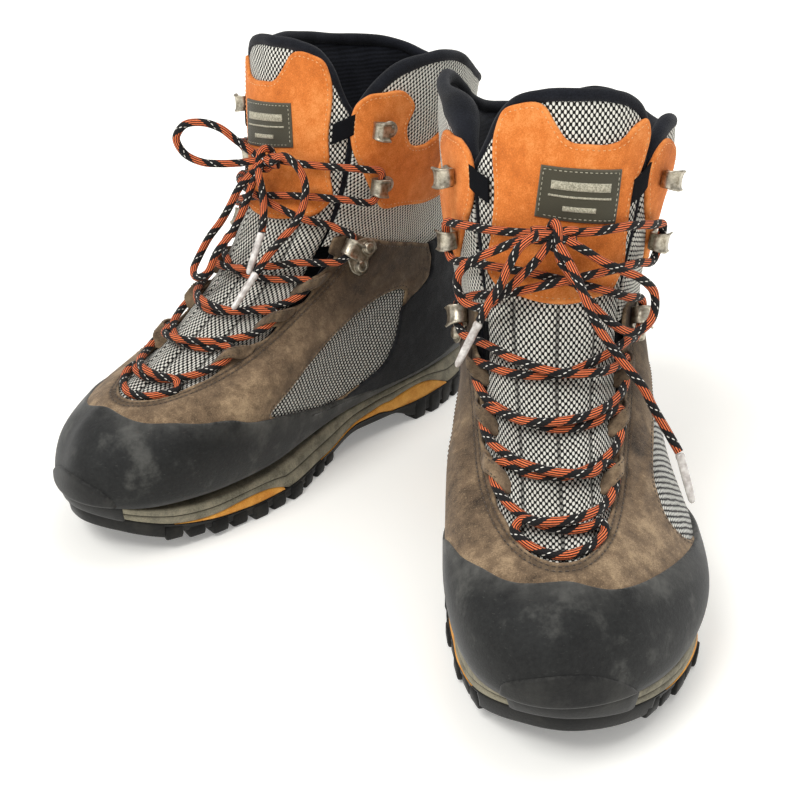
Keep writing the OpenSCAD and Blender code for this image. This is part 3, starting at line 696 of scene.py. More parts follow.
def patch_cloth():
    """The label's tight dark weave, paler where its edge is worn."""
    f = Finish("label", Sheen_Weight=0.2, Specular_IOR_Level=0.25)
    x, y = f.flat
    weave = (x.wave(0.55) * y.wave(0.55) + 1.0) * 0.5
    colour = f.mix(f.near_rim(1.0, 0.2) * 0.5, f.mix(weave, (52, 50, 40), (86, 82, 66)), (104, 99, 82))
    return f.finish(colour, 0.8, f.relief(weave, 0.2, 0.6))


def thread(name, dark, light):
    f = Finish(name, Sheen_Weight=0.2, Specular_IOR_Level=0.3)
    colour = f.ramp(f.noise(0.6, 2), (0.35, dark), (0.65, light))
    return f.finish(colour, 0.75, f.relief(f.noise(0.3, 2), 0.1, 0.5))


def plain_foam(name, dark, light):
    """Moulded sole foam: fine pores, and painted shade in its grooves."""
    f = Finish(name, Specular_IOR_Level=0.3)
    pores = f.noise(0.7, 3, 0.6)
    colour = f.ramp(f.noise(11, 4, 0.65) * 0.65 + pores * 0.35, (0.38, dark), (0.62, light))
    # Painted shade, near black, in the seams' grooves.
    return f.finish(f.shade_grooves(colour, 0.75, (30, 29, 26)), 0.7, f.relief(pores, 0.2, 0.5))


BROWN = suede("brown_suede", (44, 35, 27), (122, 101, 78), (184, 158, 124), 0.62, 0.1, 0.72)
ORANGE = suede("orange_suede", (178, 92, 36), (220, 124, 54), (244, 160, 90), 0.4, 0.06)
HEEL = suede("heel_suede", (16, 17, 19), (30, 31, 34), (52, 53, 55), 0.5, 0.08)
TONGUE_CLOTH = dotted("tongue_mesh", 2.4, 3.1, dust=0.12)
SIDE_CLOTH = dotted("side_mesh", 2.9, 2.9, 3.3, 4.2, shear=0.33, pale=(246, 245, 236))
CUFF_CLOTH = dotted("cuff_mesh", 2.4, 3.0, 3.5, 3.0, turn=0.5)
NAVY = soft_cloth("navy_cloth", (5, 6, 10), (30, 32, 39), ribs=2.1)
PIPING = soft_cloth("navy_piping", (9, 10, 14), (36, 38, 45), 0.6)
INSOLE = soft_cloth("footbed_cloth", (24, 25, 30), (58, 58, 64), 0.6)
RAND = dusty_rubber("rand_rubber", (22, 22, 22), (40, 41, 40), (112, 111, 106), 0.4)
BUMPER_RUBBER = dusty_rubber("bumper_rubber", (20, 20, 20), (37, 37, 36), (84, 83, 78), 0.22)
TREAD = dusty_rubber("tread_rubber", (13, 13, 13), (28, 28, 27), (84, 81, 73), 0.2, 0.7)
MIDSOLE = plain_foam("midsole_foam", (98, 94, 80), (152, 145, 124))
INSERT = plain_foam("insert_foam", (204, 132, 48), (240, 176, 82))
BOARD = plain_foam("board", (120, 104, 80), (160, 142, 112))
LACE, NICKEL, WEB, TIP, LABEL = lace_cloth(), worn_metal(), ribbed_web(), clear_tip(), patch_cloth()
BROWN_THREAD = thread("brown_thread", (48, 40, 33), (92, 78, 64))
ORANGE_THREAD = thread("orange_thread", (196, 132, 76), (250, 196, 134))
PALE_THREAD = thread("pale_thread", (132, 128, 110), (196, 190, 168))
DARK_THREAD = thread("dark_thread", (22, 22, 24), (52, 50, 48))


# ---- Solids from rows of points ---------------------------------------------------------------
def join(parts):
    """One piece's points and faces from several."""
    points, faces, start = [], [], 0
    for p, fs in parts:
        points.append(p)
        faces += [f + start for f in fs]
        start += len(p)
    return np.concatenate(points), faces


def flipped(faces, way=-1):
    return [f[:, ::way] for f in faces]


def capped(grid):
    """A solid from rings of points, closed by its first and last rings."""
    n, m = grid.shape[:2]
    ends = [np.arange(m)[None, ::-1], np.arange(m)[None] + (n - 1) * m]
    return grid.reshape(-1, 3), [grid_faces(n, m, around=True), *ends]


def ring_of(sides):
    angle = np.arange(sides) / sides * TURN
    return np.cos(angle), np.sin(angle)


def tube(points, radius, sides=12):
    """A round tube along points: its points, faces and corner UVs in mm."""
    p = np.asarray(points, float)
    n = len(p)
    t = unit(np.gradient(p, axis=0))
    side = UP if abs(t[0, 2]) < 0.8 else np.array([0, 1.0, 0])
    r = []
    for along in t:
        side = unit(side - (side @ along) * along)
        r.append(side)
    r = np.array(r)[:, None]
    c, s = (k[None, :, None] for k in ring_of(sides))
    radii = np.broadcast_to(radius, n)[:, None, None]
    grid = p[:, None] + radii * (c * r + s * np.cross(t, r[:, 0])[:, None])
    run = path_lengths(p)
    i, k = np.repeat(np.arange(n - 1), sides), np.tile(np.arange(sides), n - 1)
    x = run[np.stack([i, i, i + 1, i + 1], -1)]
    y = np.stack([k, k + 1, k + 1, k], -1) * TURN * np.max(radius) / sides
    ends = [np.zeros((1, sides, 2)), np.full((1, sides, 2), run[-1])]
    return *capped(grid), [np.stack([x, y], -1), *ends]


def revolve(profile, sides):
    """A solid turned about Z from (radius, height) points that go up its outside."""
    c, s = ring_of(sides)
    return capped(np.array([np.stack([r * c, r * s, z + 0 * c], -1) for r, z in profile]))


def sandwich(top, low):
    """A closed solid between two grids of points."""
    rows, columns = top.shape[:2]
    faces, m = grid_faces(rows, columns), rows * columns
    k = np.arange(m).reshape(rows, columns)
    rim = np.concatenate([k[0, :-1], k[:-1, -1], k[-1, :0:-1], k[:0:-1, 0]])
    ahead = np.roll(rim, -1)
    walls = np.stack([rim, rim + m, ahead + m, ahead], -1)
    points = np.concatenate([top.reshape(-1, 3), low.reshape(-1, 3)])
    return points, [faces, faces[:, ::-1] + m, walls]


def plate(middle, half):
    """A closed solid from a grid of middle points, half its thickness to each side."""
    n = unit(np.cross(np.gradient(middle, axis=1), np.gradient(middle, axis=0)))
    n = n * (half * np.ones(middle.shape[:2]))[..., None]
    return sandwich(middle + n, middle - n)


def sheet_between(u, v, outer, inner):
    """A closed padded sheet over a grid of (u, v); outer and inner are distances."""
    return sandwich(at(u, v, outer), at(u, v, inner))


def table(points):
    """A smooth function of u through the given (u, value) points."""
    p = np.array(points)
    rate = np.gradient(p[:, 1], p[:, 0])

    def read(u):
        i = np.clip(np.searchsorted(p[:, 0], u) - 1, 0, len(p) - 2)
        wide, rise = (p[i + 1, k] - p[i, k] for k in (0, 1))
        t = np.clip((u - p[i, 0]) / wide, 0, 1)
        return p[i, 1] + ease(t) * rise + t * (1 - t) * wide * ((1 - t) * rate[i] - t * rate[i + 1])

    return read


def mirrored(points, about=0):
    return [(about - p[0], *p[1:]) for p in points][::-1]


# A stitch from end to end: place along it, thickness and height above the cloth
STITCH = ((-0.5, 0.35, -0.35), (-0.36, 0.85, -0.05), (0, 1, 0.1), (0.36, 0.85, -0.05), (0.5, 0.35, -0.35))


def stitches(curve, d, pitch=2.5, length=1.75, radius=0.3):
    """Sewn thread along a (u, v) curve: small capsules whose ends sink into the cloth."""
    p = at(curve[:, 0], curve[:, 1], d)
    run = path_lengths(p)
    mids = np.arange(pitch, run[-1] - pitch / 2, pitch)
    sides = 6
    c, s = (k[None, :, None] for k in ring_of(sides))
    rows = []
    for along, wide, rise in STITCH:
        where = mids + along * length
        read = lambda values: np.interp(where, run, values)
        q = np.stack([read(p[:, k]) for k in range(3)], -1)
        t = np.stack([read(np.gradient(p[:, k], run)) for k in range(3)], -1)
        n = normal(read(curve[:, 0]), read(curve[:, 1]))
        across = unit(np.cross(n, t))[:, None]
        rows.append((q + n * rise * radius * 2)[:, None] + radius * wide * (c * n[:, None] + s * across))
    m = len(STITCH) * sides
    starts = (np.arange(len(mids)) * m)[:, None]
    one = grid_faces(len(STITCH), sides, around=True)[:, ::-1]
    near, far = starts + np.arange(sides)[None], starts + (m - sides) + np.arange(sides)[None, ::-1]
    quads = (starts[:, :, None] + one[None]).reshape(-1, 4)
    return np.stack(rows, 1).reshape(-1, 3), [quads, np.concatenate([near, far])]


def panel(name, edge, top, bottom, material, slot, radius=0.8, holes=(), spacing=2.2, puff=0.0,
          grooves=(), centre=None, **settings):
    """A cut piece of cloth or suede with rounded edges and grooves pressed along given curves."""
    uv, tris, far, loops = panel_mesh(edge, holes, spacing, extra=[g for g, *_ in grooves])
    high = rounded(far, top, radius) + puff * ease(far / 9) * 0.5
    # seams holds how far each point is pressed in, which the materials darken as painted shade.
    seams = np.zeros(len(uv))
    for groove_shade, wide, deep in grooves:
        pressed = np.exp(-(distances_from(groove_shade)(uv) / wide) ** 2)
        high = high - deep * pressed
        seams = np.maximum(seams, pressed)
    flat = flatten(uv, uv.mean(0) if centre is None else centre)
    both(name, *close_up(uv, tris, high, bottom), material, slot, uv=twice(flat), rim=twice(far),
         seams=twice(seams), **settings)
    return loops


def sewn(name, lines, material, slot, body="boot", **sizes):
    """One piece of stitching on each boot from (curve, height) pairs."""
    both(name, *join([stitches(curve, d, **sizes) for curve, d in lines]), material, slot, body=body)


def edge_line(loop, mm):
    """The run of a closed outline's inside at mm, without the folds of tight corners."""
    moved = inward(loop, mm)
    keep = distances_from(loop)(moved) > 0.9 * mm
    if keep.all():
        return np.concatenate([moved, moved[:1]])
    first = int(np.argmin(keep))
    return np.roll(moved, -first, 0)[np.roll(keep, -first)]


# ---- Laces: the free loops and tails come first -----------------------------------------------
LACE_RADIUS = LACE_DIAMETER / 2
# For each boot, the middle line of each free part from the knot to its end
BOWS = {
    "left": (
        ((-9, -9, 160), (-18, -10, 158), (-27, -7, 153), (-35, -4, 148), (-41, -2, 140), (-39, -4, 131),
         (-31, -8, 129), (-24, -11, 135), (-17, -13, 143), (-9, -13, 152)),
        ((2, -10, 159), (9, -10, 155), (17, -10, 150), (25, -9, 146), (34, -6, 141), (40, -3, 134),
         (40, -5, 124), (32, -12, 120), (23, -16, 125), (14, -16, 133), (7, -15, 142), (0, -13, 151))),
    "right": (
        ((2, -11, 163), (8, -16, 169), (13, -21, 175), (19, -27, 178), (25, -33, 177), (28, -36, 171),
         (26, -34, 164), (20, -28, 159), (14, -22, 158), (7, -15, 158)),
        ((0, -15, 154), (5, -19, 147), (10, -21, 138), (15, -24, 129), (20, -28, 121), (23, -32, 113),
         (21, -39, 107), (14, -43, 106), (8, -42, 109), (5, -37, 119), (3, -27, 128), (1, -20, 139),
         (-1, -16, 149))),
}
TAILS = {
    "left": (
        ((-10, -12, 162), (-17, -17, 158), (-21, -17, 150), (-24, -17, 142), (-28, -17, 135),
         (-32, -18, 127)),
        ((3, -16, 152), (7, -21, 145), (11, -24, 136), (16, -26, 127), (22, -28, 119), (28, -30, 112),
         (34, -32, 105), (39, -33, 96), (44, -34, 88), (50, -39, 79))),
    "right": (
        ((-9, -10, 160), (-17, -9, 164), (-24, -7, 159), (-28, -7, 151), (-29, -10, 143), (-28, -15, 135),
         (-25, -22, 128), (-22, -29, 121), (-20, -35, 114)),
        ((-2.5, -13, 156.3), (-5, -15, 154), (-9, -17, 146), (-12, -20, 138), (-14, -24, 130))),
}
TIP_DIRECTIONS = {"left": ((-8, -2, -17), (5, -10, -16)), "right": ((0, -14, -11), (-1, -9, -13))}
TIP_PROFILE = ((0.9, 0.0), (1.7, 0.2), (1.9, 0.9), (1.9, 2.0), (1.68, 2.6), (1.75, 8), (1.65, 15),
               (1.45, 19.4), (1.05, 20.5), (0.5, 21.0))


def set_on(points, faces, x, y, z, origin):
    """Moves a solid made about the origin to its own axes; mirrored axes turn its faces over."""
    axes = np.stack([x, y, z])
    return points @ axes + origin, flipped(faces) if np.linalg.det(axes) < 0 else faces


def make_tip(boot, label, end, direction):
    z = unit(np.array(direction, float))
    x = unit(np.cross([0, 1.0, 0.3], z))
    points, faces = set_on(*revolve(TIP_PROFILE, 20), x, np.cross(z, x), z, end + 0.4 * z)
    return make_piece(boot, "aglet_" + label, points, faces, TIP, "clear_tip", replaces=["aglets"])


def make_cords(boot):
    for name, routes, far_end in (("bow_loop", BOWS, "object"), ("lace_tail", TAILS, "fitting")):
        for label, route, direction in zip("ab", routes[boot.side], TIP_DIRECTIONS[boot.side]):
            line = curve_through(route, 1.0)
            points, faces, uv = tube(line, LACE_RADIUS)
            piece = make_piece(boot, name + "_" + label, points, faces, LACE, "lace_cord",
                               replaces=[name + "s"], uv=uv)
            if far_end == "fitting":
                make_tip(boot, label, line[-1], direction)
            path = boot.place(line)
            tuple(path[0])
            [tuple(p) for p in path]


for one in BOOTS:
    make_cords(one)

# The lace's (u, v, distance) from the knot down one side to the toe and up the other
LACE_ROUTE = (
    (-0.018, 0.846, 8.3), (-0.042, 0.843, 6.5), (-0.083, 0.838, 5.4), (-0.125, 0.829, 5.6),
    (-0.15, 0.816, 6.2),
    (-0.153, 0.789, 6.4), (-0.15, 0.762, 6.2), (-0.118, 0.774, 5), (-0.065, 0.787, 4.9), (-0.017, 0.784, 4.9),
    (0.044, 0.762, 5.3), (0.1, 0.73, 5), (0.148, 0.694, 6), (0.156, 0.668, 6.4), (0.15, 0.644, 6),
    (0.12, 0.66, 5), (0.07, 0.665, 3.9), (0, 0.655, 3.6), (-0.06, 0.645, 3.6), (-0.105, 0.635, 3.8),
    (-0.127, 0.622, 4.2), (-0.13, 0.606, 4.2), (-0.12, 0.591, 4), (-0.06, 0.59, 3.4), (0, 0.588, 3.4),
    (0.06, 0.585, 3.4), (0.095, 0.58, 3.9), (0.11, 0.57, 4.2), (0.113, 0.556, 4.2), (0.11, 0.541, 4.2),
    (0.1, 0.53, 4), (0.05, 0.528, 3.4), (0, 0.526, 3.4), (-0.05, 0.521, 3.4), (-0.078, 0.516, 3.9),
    (-0.09, 0.506, 4.2), (-0.093, 0.49, 4.2), (-0.09, 0.474, 4.2), (-0.075, 0.461, 3.9), (-0.04, 0.455, 3.4),
    (0, 0.45, 3.4), (0.04, 0.443, 3.4), (0.062, 0.436, 3.7), (0.066, 0.424, 3.4), (0.05, 0.414, 2.6),
    (0.025, 0.412, 2), (0, 0.411, 1.8), (-0.025, 0.412, 2), (-0.048, 0.415, 2.6), (-0.063, 0.428, 3.4),
    (-0.056, 0.441, 4.6), (-0.03, 0.446, 7.4), (0, 0.451, 8), (0.04, 0.458, 6), (0.07, 0.46, 4.2),
    (0.087, 0.468, 4.2), (0.093, 0.482, 4.2), (0.092, 0.498, 4.2), (0.083, 0.511, 4), (0.04, 0.517, 6.5),
    (0, 0.522, 8), (-0.04, 0.527, 6.5), (-0.08, 0.53, 4.2), (-0.103, 0.533, 4.2), (-0.112, 0.545, 4.2),
    (-0.113, 0.558, 4.2), (-0.107, 0.572, 4.2), (-0.09, 0.581, 4), (-0.04, 0.585, 7), (0, 0.59, 8),
    (0.04, 0.594, 6.8), (0.09, 0.595, 4.2), (0.118, 0.594, 4.2), (0.129, 0.605, 4.2), (0.13, 0.62, 4.2),
    (0.124, 0.633, 4.4), (0.1, 0.639, 4.6), (0.05, 0.646, 7.4), (0, 0.652, 8.2), (-0.05, 0.66, 7.4),
    (-0.1, 0.665, 5), (-0.135, 0.652, 5.6), (-0.15, 0.646, 6), (-0.156, 0.668, 6.4), (-0.148, 0.692, 6),
    (-0.118, 0.72, 4.6), (-0.065, 0.746, 5.6), (-0.017, 0.77, 9.4), (0.022, 0.784, 9.4), (0.06, 0.788, 6.4),
    (0.11, 0.778, 5), (0.15, 0.762, 6.2), (0.153, 0.789, 6.4), (0.15, 0.816, 6.2), (0.125, 0.829, 5.6),
    (0.083, 0.844, 5.4), (0.028, 0.847, 6.5), (0.0, 0.847, 8.3))


def make_lacing():
    route = np.array(LACE_ROUTE, float)
    route[:, 2] -= 0.8 * ease((0.68 - route[:, 1]) / 0.04)
    points, faces, uv = tube(curve_through(at(*route.T), 1.0), LACE_RADIUS)
    both("lace_run", points, faces, LACE, "lace_cord", replaces=["lace"], uv=uv)
    middle = surf(-0.01, 0.846) + 9.5 * normal(-0.01, 0.846)
    x, up = np.array([1.0, 0, 0]), unit(np.array([0, 0.25, 1.0]))
    out = np.cross(x, up)
    angle = np.linspace(0, TURN, 41)[:-1]
    wrap = (middle + np.outer(np.cos(angle) * 4.9, up) + np.outer(np.sin(angle) * 3.4, out)
            + np.outer(1.4 * np.sin(angle), x))
    strands = [np.concatenate([wrap, wrap[:2]])]
    t = np.linspace(-1, 1, 24)
    for way in (-1, 1):
        strands.append(middle + np.outer(t * 9.0, x) + np.outer(way * 1.9 * np.sin(t * 2.2), up)
                       + np.outer(way * 1.2 * np.cos(t * 1.6) + 0.4, out))
    for boot in BOOTS:
        bows, tails = BOWS[boot.side], TAILS[boot.side]
        free = [b[e] for b in bows for e in (0, -1)] + [r[0] for r in tails]
        reach = [curve_through([end, 0.5 * end + 0.5 * middle + out, middle], 1.0)
                 for end in np.array(free, float)]
        made = [tube(r, LACE_RADIUS) for r in strands + reach]
        make_piece(boot, "knot_turns", *join([m[:2] for m in made]), LACE, "lace_cord",
                   replaces=["lace_knot"], uv=[uv for m in made for uv in m[2]])


make_lacing()

# ---- Sole -------------------------------------------------------------------------------------
# A distance from the rim at which rubber shows no scuffs of its edge
NO_RIM = 9.0
# From where to where the inserts show along the sole
ARCH, WEDGE = (-16, 97), (-113, -45)
LUG_PITCH = 12.2


def spring(y):
    return 18.5 * (np.maximum(-60 - y, 0) / 82) ** 2


def waist(y):
    return 6.5 * ease((y + 4) / 26) * ease((66 - y) / 18)


def sole_low(y):
    return 4.5 + spring(y) + waist(y)


def lens(y, low, high, lean):
    t = np.clip((y - low) / (high - low), 0, 1)
    return np.abs(np.sin(PI * t**lean)) ** 0.85


def web_top(y):
    return sole_low(y) + 3.6 - 2.2 * ease((y - 36) / 12) + 6.0 * ease((y - 48) / 18)


def insert_top(y):
    return web_top(y) + 0.02 + 9.4 * lens(y, *ARCH, 2.2) ** 1.5 + 5.2 * lens(y, *WEDGE, 1.9)


def welt(y):
    return 19.5 + 0.67 * spring(y) + 7.5 * ease((y + 70) / 110)


def between(low, high, t):
    return lambda y: low(y) + (high(y) - low(y)) * t


def raised(height, rise):
    return lambda y: height(y) + rise


# How far the sole's lowest edge stands out from the foot, round from the toe by its outer side
sole_edge = table([
    (-0.023, -5.6), (0.0, -4.0), (0.03, -3.5), (0.06, -3.2), (0.1, -2.5), (0.126, -1.3), (0.15, 1.0),
    (0.17, 3.8), (0.19, 5.8), (0.22, 5.0), (0.27, 2.2), (0.35, 0.6), (0.5, 0.0), (0.57, 0.6), (0.61, 2.2),
    (0.65, 3.4), (0.68, 2.6), (0.71, 0.0), (0.746, -2.4), (0.771, 1.2), (0.797, 4.7), (0.815, 4.0),
    (0.831, 3.0), (0.845, 1.4), (0.861, 0.0), (0.878, -1.8), (0.9, -3.0), (0.93, -5.4), (0.954, -6.6),
    (0.977, -5.6), (1.0, -4.0)])


def sole_rows(us, rows):
    """Rows of points round the sole; a row is (distance outside the foot, height from y)."""
    base = surf(us, np.full_like(us, 0.07)) * [1, 1, 0]
    base = base + swerve(base)
    out = unit(normal(us, np.full_like(us, 0.07)) * [1, 1, 0])
    low, high = spring(base[:, 1]), welt(base[:, 1])
    grid = []
    for w, height in rows:
        share = np.clip((height(base[:, 1]) - low - 3) / (high - low - 3), 0, 1)
        p = base + (w + sole_edge(us % 1) * (1 - 0.8 * share))[..., None] * out
        p[:, 2] = height(p[:, 1])
        grid.append(p)
    return np.stack(grid)


def sole_strip(us, rows):
    """A strip round part of the sole: its rows close on each other, and its ends are flat."""
    grid = sole_rows(us, rows)
    n, m = grid.shape[:2]
    ends = [np.arange(n)[None] * m, np.arange(n)[None, ::-1] * m + m - 1]
    return grid.reshape(-1, 3), [grid_faces(n, m, along=True), *ends]


def lid(ring, first, start, sag=0.0, across=10):
    """A lid over a ring of points numbered from first: its inner points and faces."""
    n = len(ring)
    h = n // 2
    t = np.arange(1, across) / across
    a, b = ring[1:h], ring[n - 1:n - h:-1]
    inner = a[:, None] + (b - a)[:, None] * t[None, :, None]
    inner[..., 2] -= sag * np.sin(PI * t)[None] ** 0.8
    index = np.zeros((h + 1, across + 1), int)
    index[:, 0] = first + np.arange(h + 1)
    index[:, -1] = first + (n - np.arange(h + 1)) % n
    index[0], index[h] = first, first + h
    index[1:h, 1:-1] = start + np.arange((h - 1) * (across - 1)).reshape(h - 1, -1)
    quads = np.stack([index[1:-2, :-1], index[2:-1, :-1], index[2:-1, 1:], index[1:-2, 1:]], -1)
    toe = np.stack([index[0, :-1], index[1, :-1], index[1, 1:]], -1)
    heel = np.stack([index[-2, :-1], index[-1, :-1], index[-2, 1:]], -1)
    return inner.reshape(-1, 3), [quads.reshape(-1, 4), np.concatenate([toe, heel])]


SOLE_COLUMNS = 240


def sole_layer(rows, sag=0.0):
    """A closed layer of the sole from its rows, bottom to top."""
    columns = SOLE_COLUMNS
    grid = sole_rows(np.arange(columns) / columns, rows)
    n, points = len(rows), grid.reshape(-1, 3)
    low, low_faces = lid(grid[0], 0, len(points))
    high, high_faces = lid(grid[-1], (n - 1) * columns, len(points) + len(low), sag)
    faces = [grid_faces(n, columns, around=True), *flipped(low_faces), *high_faces]
    return np.concatenate([points, low, high]), faces


def block(size, high, inset=0.9, corner=1.1):
    """A tread lug standing on the origin: rounded in plan, chamfered below."""
    def ring(dx, z):
        x, y, c = size[0] / 2 - dx, size[1] / 2 - dx, corner
        side = ((x, -y + c), (x, y - c), (x - 0.3 * c, y - 0.3 * c), (x - c, y), (-x + c, y),
                (-x + 0.3 * c, y - 0.3 * c))
        return [(way * a, way * b, z) for way in (1, -1) for a, b in side]
    rows = ((inset + 0.5, 0), (inset * 0.55, 0.25), (0.25, 0.9), (0, 2), (0, high))
    return capped(np.array([ring(*row) for row in rows]))


def side_lugs():
    """Lugs a pitch apart round the sole's edge, all but under the raised waist and the toe."""
    us = np.linspace(0, 1, 2401)[:-1]
    run = path_lengths(sole_rows(us, [(0, spring)])[0])
    count = int(run[-1] / LUG_PITCH)
    parts = []
    for i in range(count):
        u = np.interp((i + 0.5) * run[-1] / count, run, us)
        before, p, after = sole_rows(u + np.array([-0.002, 0, 0.002]), [(-4.6, spring)])[0]
        if waist(p[1]) > 1 or -0.09 < (u + 0.5) % 1 - 0.5 < 0.085:
            continue
        n = unit(np.cross(after - before, UP) * [1, 1, 0])
        long, gap = 11.4 if i % 2 else 9.8, 1.6 + 1.6 * float(ease((p[1] + 128) / 22))
        solid = block((long, LUG_PITCH - gap), float(web_top(p[1])) - p[2] - 0.9, 0.7, 1.0)
        parts.append(set_on(*solid, n, np.cross(UP, n), UP, p))
    return parts


def inner_lugs():
    """Lugs under the ball of the foot and the heel, turned outwards a little."""
    places = [(x, y, 11) for y in range(-104, -39, 17) for x in (-17, 5, 27)]
    places += [(x, y, 12) for y in (80, 102, 122) for x in (-11, 11)]
    parts = []
    for x, y, wide in places:
        c, s = math.cos(0.35), math.sin(0.35 * np.sign(x))
        solid = block((wide, 10), float(sole_low(y) - spring(y)) + 0.8)
        origin = np.array([x, y, float(spring(y))])
        parts.append(set_on(*solid, np.array([c, s, 0]), np.array([-s, c, 0]), UP, origin))
    return parts


def make_outsole():
    web = sole_layer([
        (-2.0, raised(sole_low, -1.5)), (-0.7, raised(sole_low, -1.4)), (-0.1, raised(sole_low, -0.8)),
        *[(w, between(sole_low, web_top, t)) for w, t in ((0.2, 0.4), (0.5, 0.6), (0.9, 0.8))],
        (1.0, raised(web_top, -0.3)), (0.4, web_top)])
    front = sole_strip(np.linspace(-0.094, 0.089, 120), [
        (-9, spring), (0.4, raised(spring, 0.1)), (0.95, raised(spring, 0.7)), (1.15, raised(spring, 3)),
        (1.2, raised(web_top, -0.9)), (0.7, raised(web_top, -0.2)), (-9, raised(web_top, -0.2))])
    points, faces = join([web, *side_lugs(), front, *inner_lugs()])
    both("lugged_outsole", points, faces, TREAD, "tread_rubber", replaces=["outsole"],
         rim=np.full(len(points), NO_RIM))


# The midsole's wall: share of its height and distance outside the foot
MIDSOLE_WALL = ((0.0, 0.3), (0.03, 0.75), (0.1, 1.0), (0.25, 1.1), (0.44, 0.95), (0.475, 0.5), (0.5, 0.3),
                (0.525, 0.5), (0.56, 0.9), (0.72, 0.8), (0.88, 0.6), (0.95, 0.3), (1.0, -0.4))
# Rows of the midsole wall that lie in its groove, and how much painted shade each takes.
GROOVE_ROWS = ((5, 0.6), (6, 1.0), (7, 0.6))


def make_midsole():
    low = raised(insert_top, 0.01)
    layer = sole_layer([(w, between(low, welt, t)) for t, w in MIDSOLE_WALL] + [(-1.6, raised(welt, -0.05))])
    seams = np.zeros(len(layer[0]))
    for row, depth in GROOVE_ROWS:
        seams[row * SOLE_COLUMNS:(row + 1) * SOLE_COLUMNS] = depth
    both("midsole_body", *layer, MIDSOLE, "midsole_foam", replaces=["midsole"], seams=seams)
    base = raised(web_top, 0.01)
    side = [(w, between(web_top, insert_top, t)) for w, t in ((0.9, 0.2), (1.1, 0.5), (0.9, 0.8))]
    parts = []
    for low_y, high_y, first, last in ((*ARCH, 0.2, 0.5), (*WEDGE, 0.02, 0.3)):
        for way in (1, -1):
            us = way * np.linspace(first, last, 400)
            y = sole_rows(us, [(0, spring)])[0, :, 1]
            us = us[(y > low_y + 2.5) & (y < high_y - 2.5)]
            rows = [(-6, base), (0.4, base), *side, (0.4, insert_top), (-6, insert_top)]
            points, faces = sole_strip(us, rows)
            parts.append((points, flipped(faces, way)))
    both("insert_strips", *join(parts), INSERT, "insert_foam", replaces=["midsole_inserts"])


def make_footbed():
    low = raised(welt, 2.4)
    top = lambda y: low(y) + 4 + 3 * ease((y + 20) / 90)
    layer = sole_layer([(-10, low), (-9.2, raised(low, 0.4)), (-9, between(low, top, 0.5)),
                        (-9.2, raised(top, -0.6)), (-10, top), (-12, raised(top, -0.1))], sag=2.2)
    both("footbed_foam", *layer, INSOLE, "footbed_cloth", body="footbed_body", replaces=["footbed"],
         padded=0.8)


make_outsole()
make_midsole()
make_footbed()
for one in BOOTS:
    board = frame["nodes"][one.body("insole_board")]
    for slot in board.material_slots:
        slot.material = BOARD
    if not board.material_slots:
        board.data.materials.append(BOARD)


# ---- Upper: rand and suede --------------------------------------------------------------------
rand_top = table([
    (-0.5, 0.17), (-0.38, 0.15), (-0.314, 0.12), (-0.284, 0.127), (-0.252, 0.152), (-0.229, 0.17),
    (-0.208, 0.202), (-0.182, 0.235), (-0.16, 0.262), (-0.148, 0.282), (-0.117, 0.306),
    (-0.092, 0.325), (-0.064, 0.336), (-0.035, 0.352), (0, 0.365), (0.032, 0.351), (0.062, 0.326),
    (0.093, 0.301), (0.12, 0.279), (0.165, 0.24), (0.23, 0.18), (0.28, 0.13), (0.31, 0.12),
    (0.38, 0.15), (0.5, 0.17)])
rand_base = table([
    (-0.5, 0.105), (-0.31, 0.105), (-0.25, 0.095), (-0.17, 0.065), (-0.1, 0.09), (0, 0.125),
    (0.1, 0.09), (0.17, 0.065), (0.25, 0.095), (0.31, 0.105), (0.5, 0.105)])
collar_top = table([
    (0.1, 0.878), (0.11, 0.898), (0.125, 0.919), (0.16, 0.952), (0.215, 0.966), (0.25, 0.963),
    (0.31, 0.952), (0.355, 0.946), (0.4, 0.931), (0.447, 0.9), (0.5, 0.87), (0.56, 0.868),
    (0.6, 0.88), (0.64, 0.9), (0.67, 0.922), (0.7, 0.946), (0.73, 0.964), (0.76, 0.971),
    (0.785, 0.969), (0.84, 0.952), (0.875, 0.919), (0.89, 0.898), (0.9, 0.878)])
cuff_base = table([
    (0.11, 0.71), (0.19, 0.672), (0.25, 0.6), (0.31, 0.518), (0.5, 0.475), (0.69, 0.518),
    (0.75, 0.6), (0.81, 0.672), (0.89, 0.71)])


def make_rand():
    us = np.linspace(-0.5, 0.5, 401)[:-1]
    top, base = rand_top(us), rand_base(us)
    rate = np.linalg.norm(slopes(us, top)[1], axis=-1)
    full = 2.3
    rows = [(base, -1.6, 20.0), (base, 1.3, 20.0), (base + 0.004, 2.0, 20.0)]
    for t in np.linspace(0.12, 0.86, 13):
        rows.append((base + (top - base) * t, full, (top - base) * (1 - t) * rate))
    for s in (2.4, 1.6, 1.05, 0.65, 0.35, 0.14, 0.02):
        rows.append((top - s / rate, full - 1.1 * (1 - math.sqrt(1 - max(1 - s / 1.1, 0) ** 2)), s))
    rows.append((top - 0.4 / rate, -0.9, 0.0))
    points = np.concatenate([at(us, v, d) for v, d, _ in rows])
    rim = np.concatenate([np.broadcast_to(s, us.shape) for *_, s in rows])
    faces = [grid_faces(len(rows), len(us), around=True, along=True)]
    both("rand_skin", points, faces, RAND, "rand_rubber", replaces=["rand"], rim=rim)


BUMPER = ((-0.052, 0.119), (-0.048, 0.155), (-0.024, 0.194), (0.003, 0.207), (0.034, 0.19),
          (0.058, 0.14), (0.064, 0.112), (0.0, 0.124))


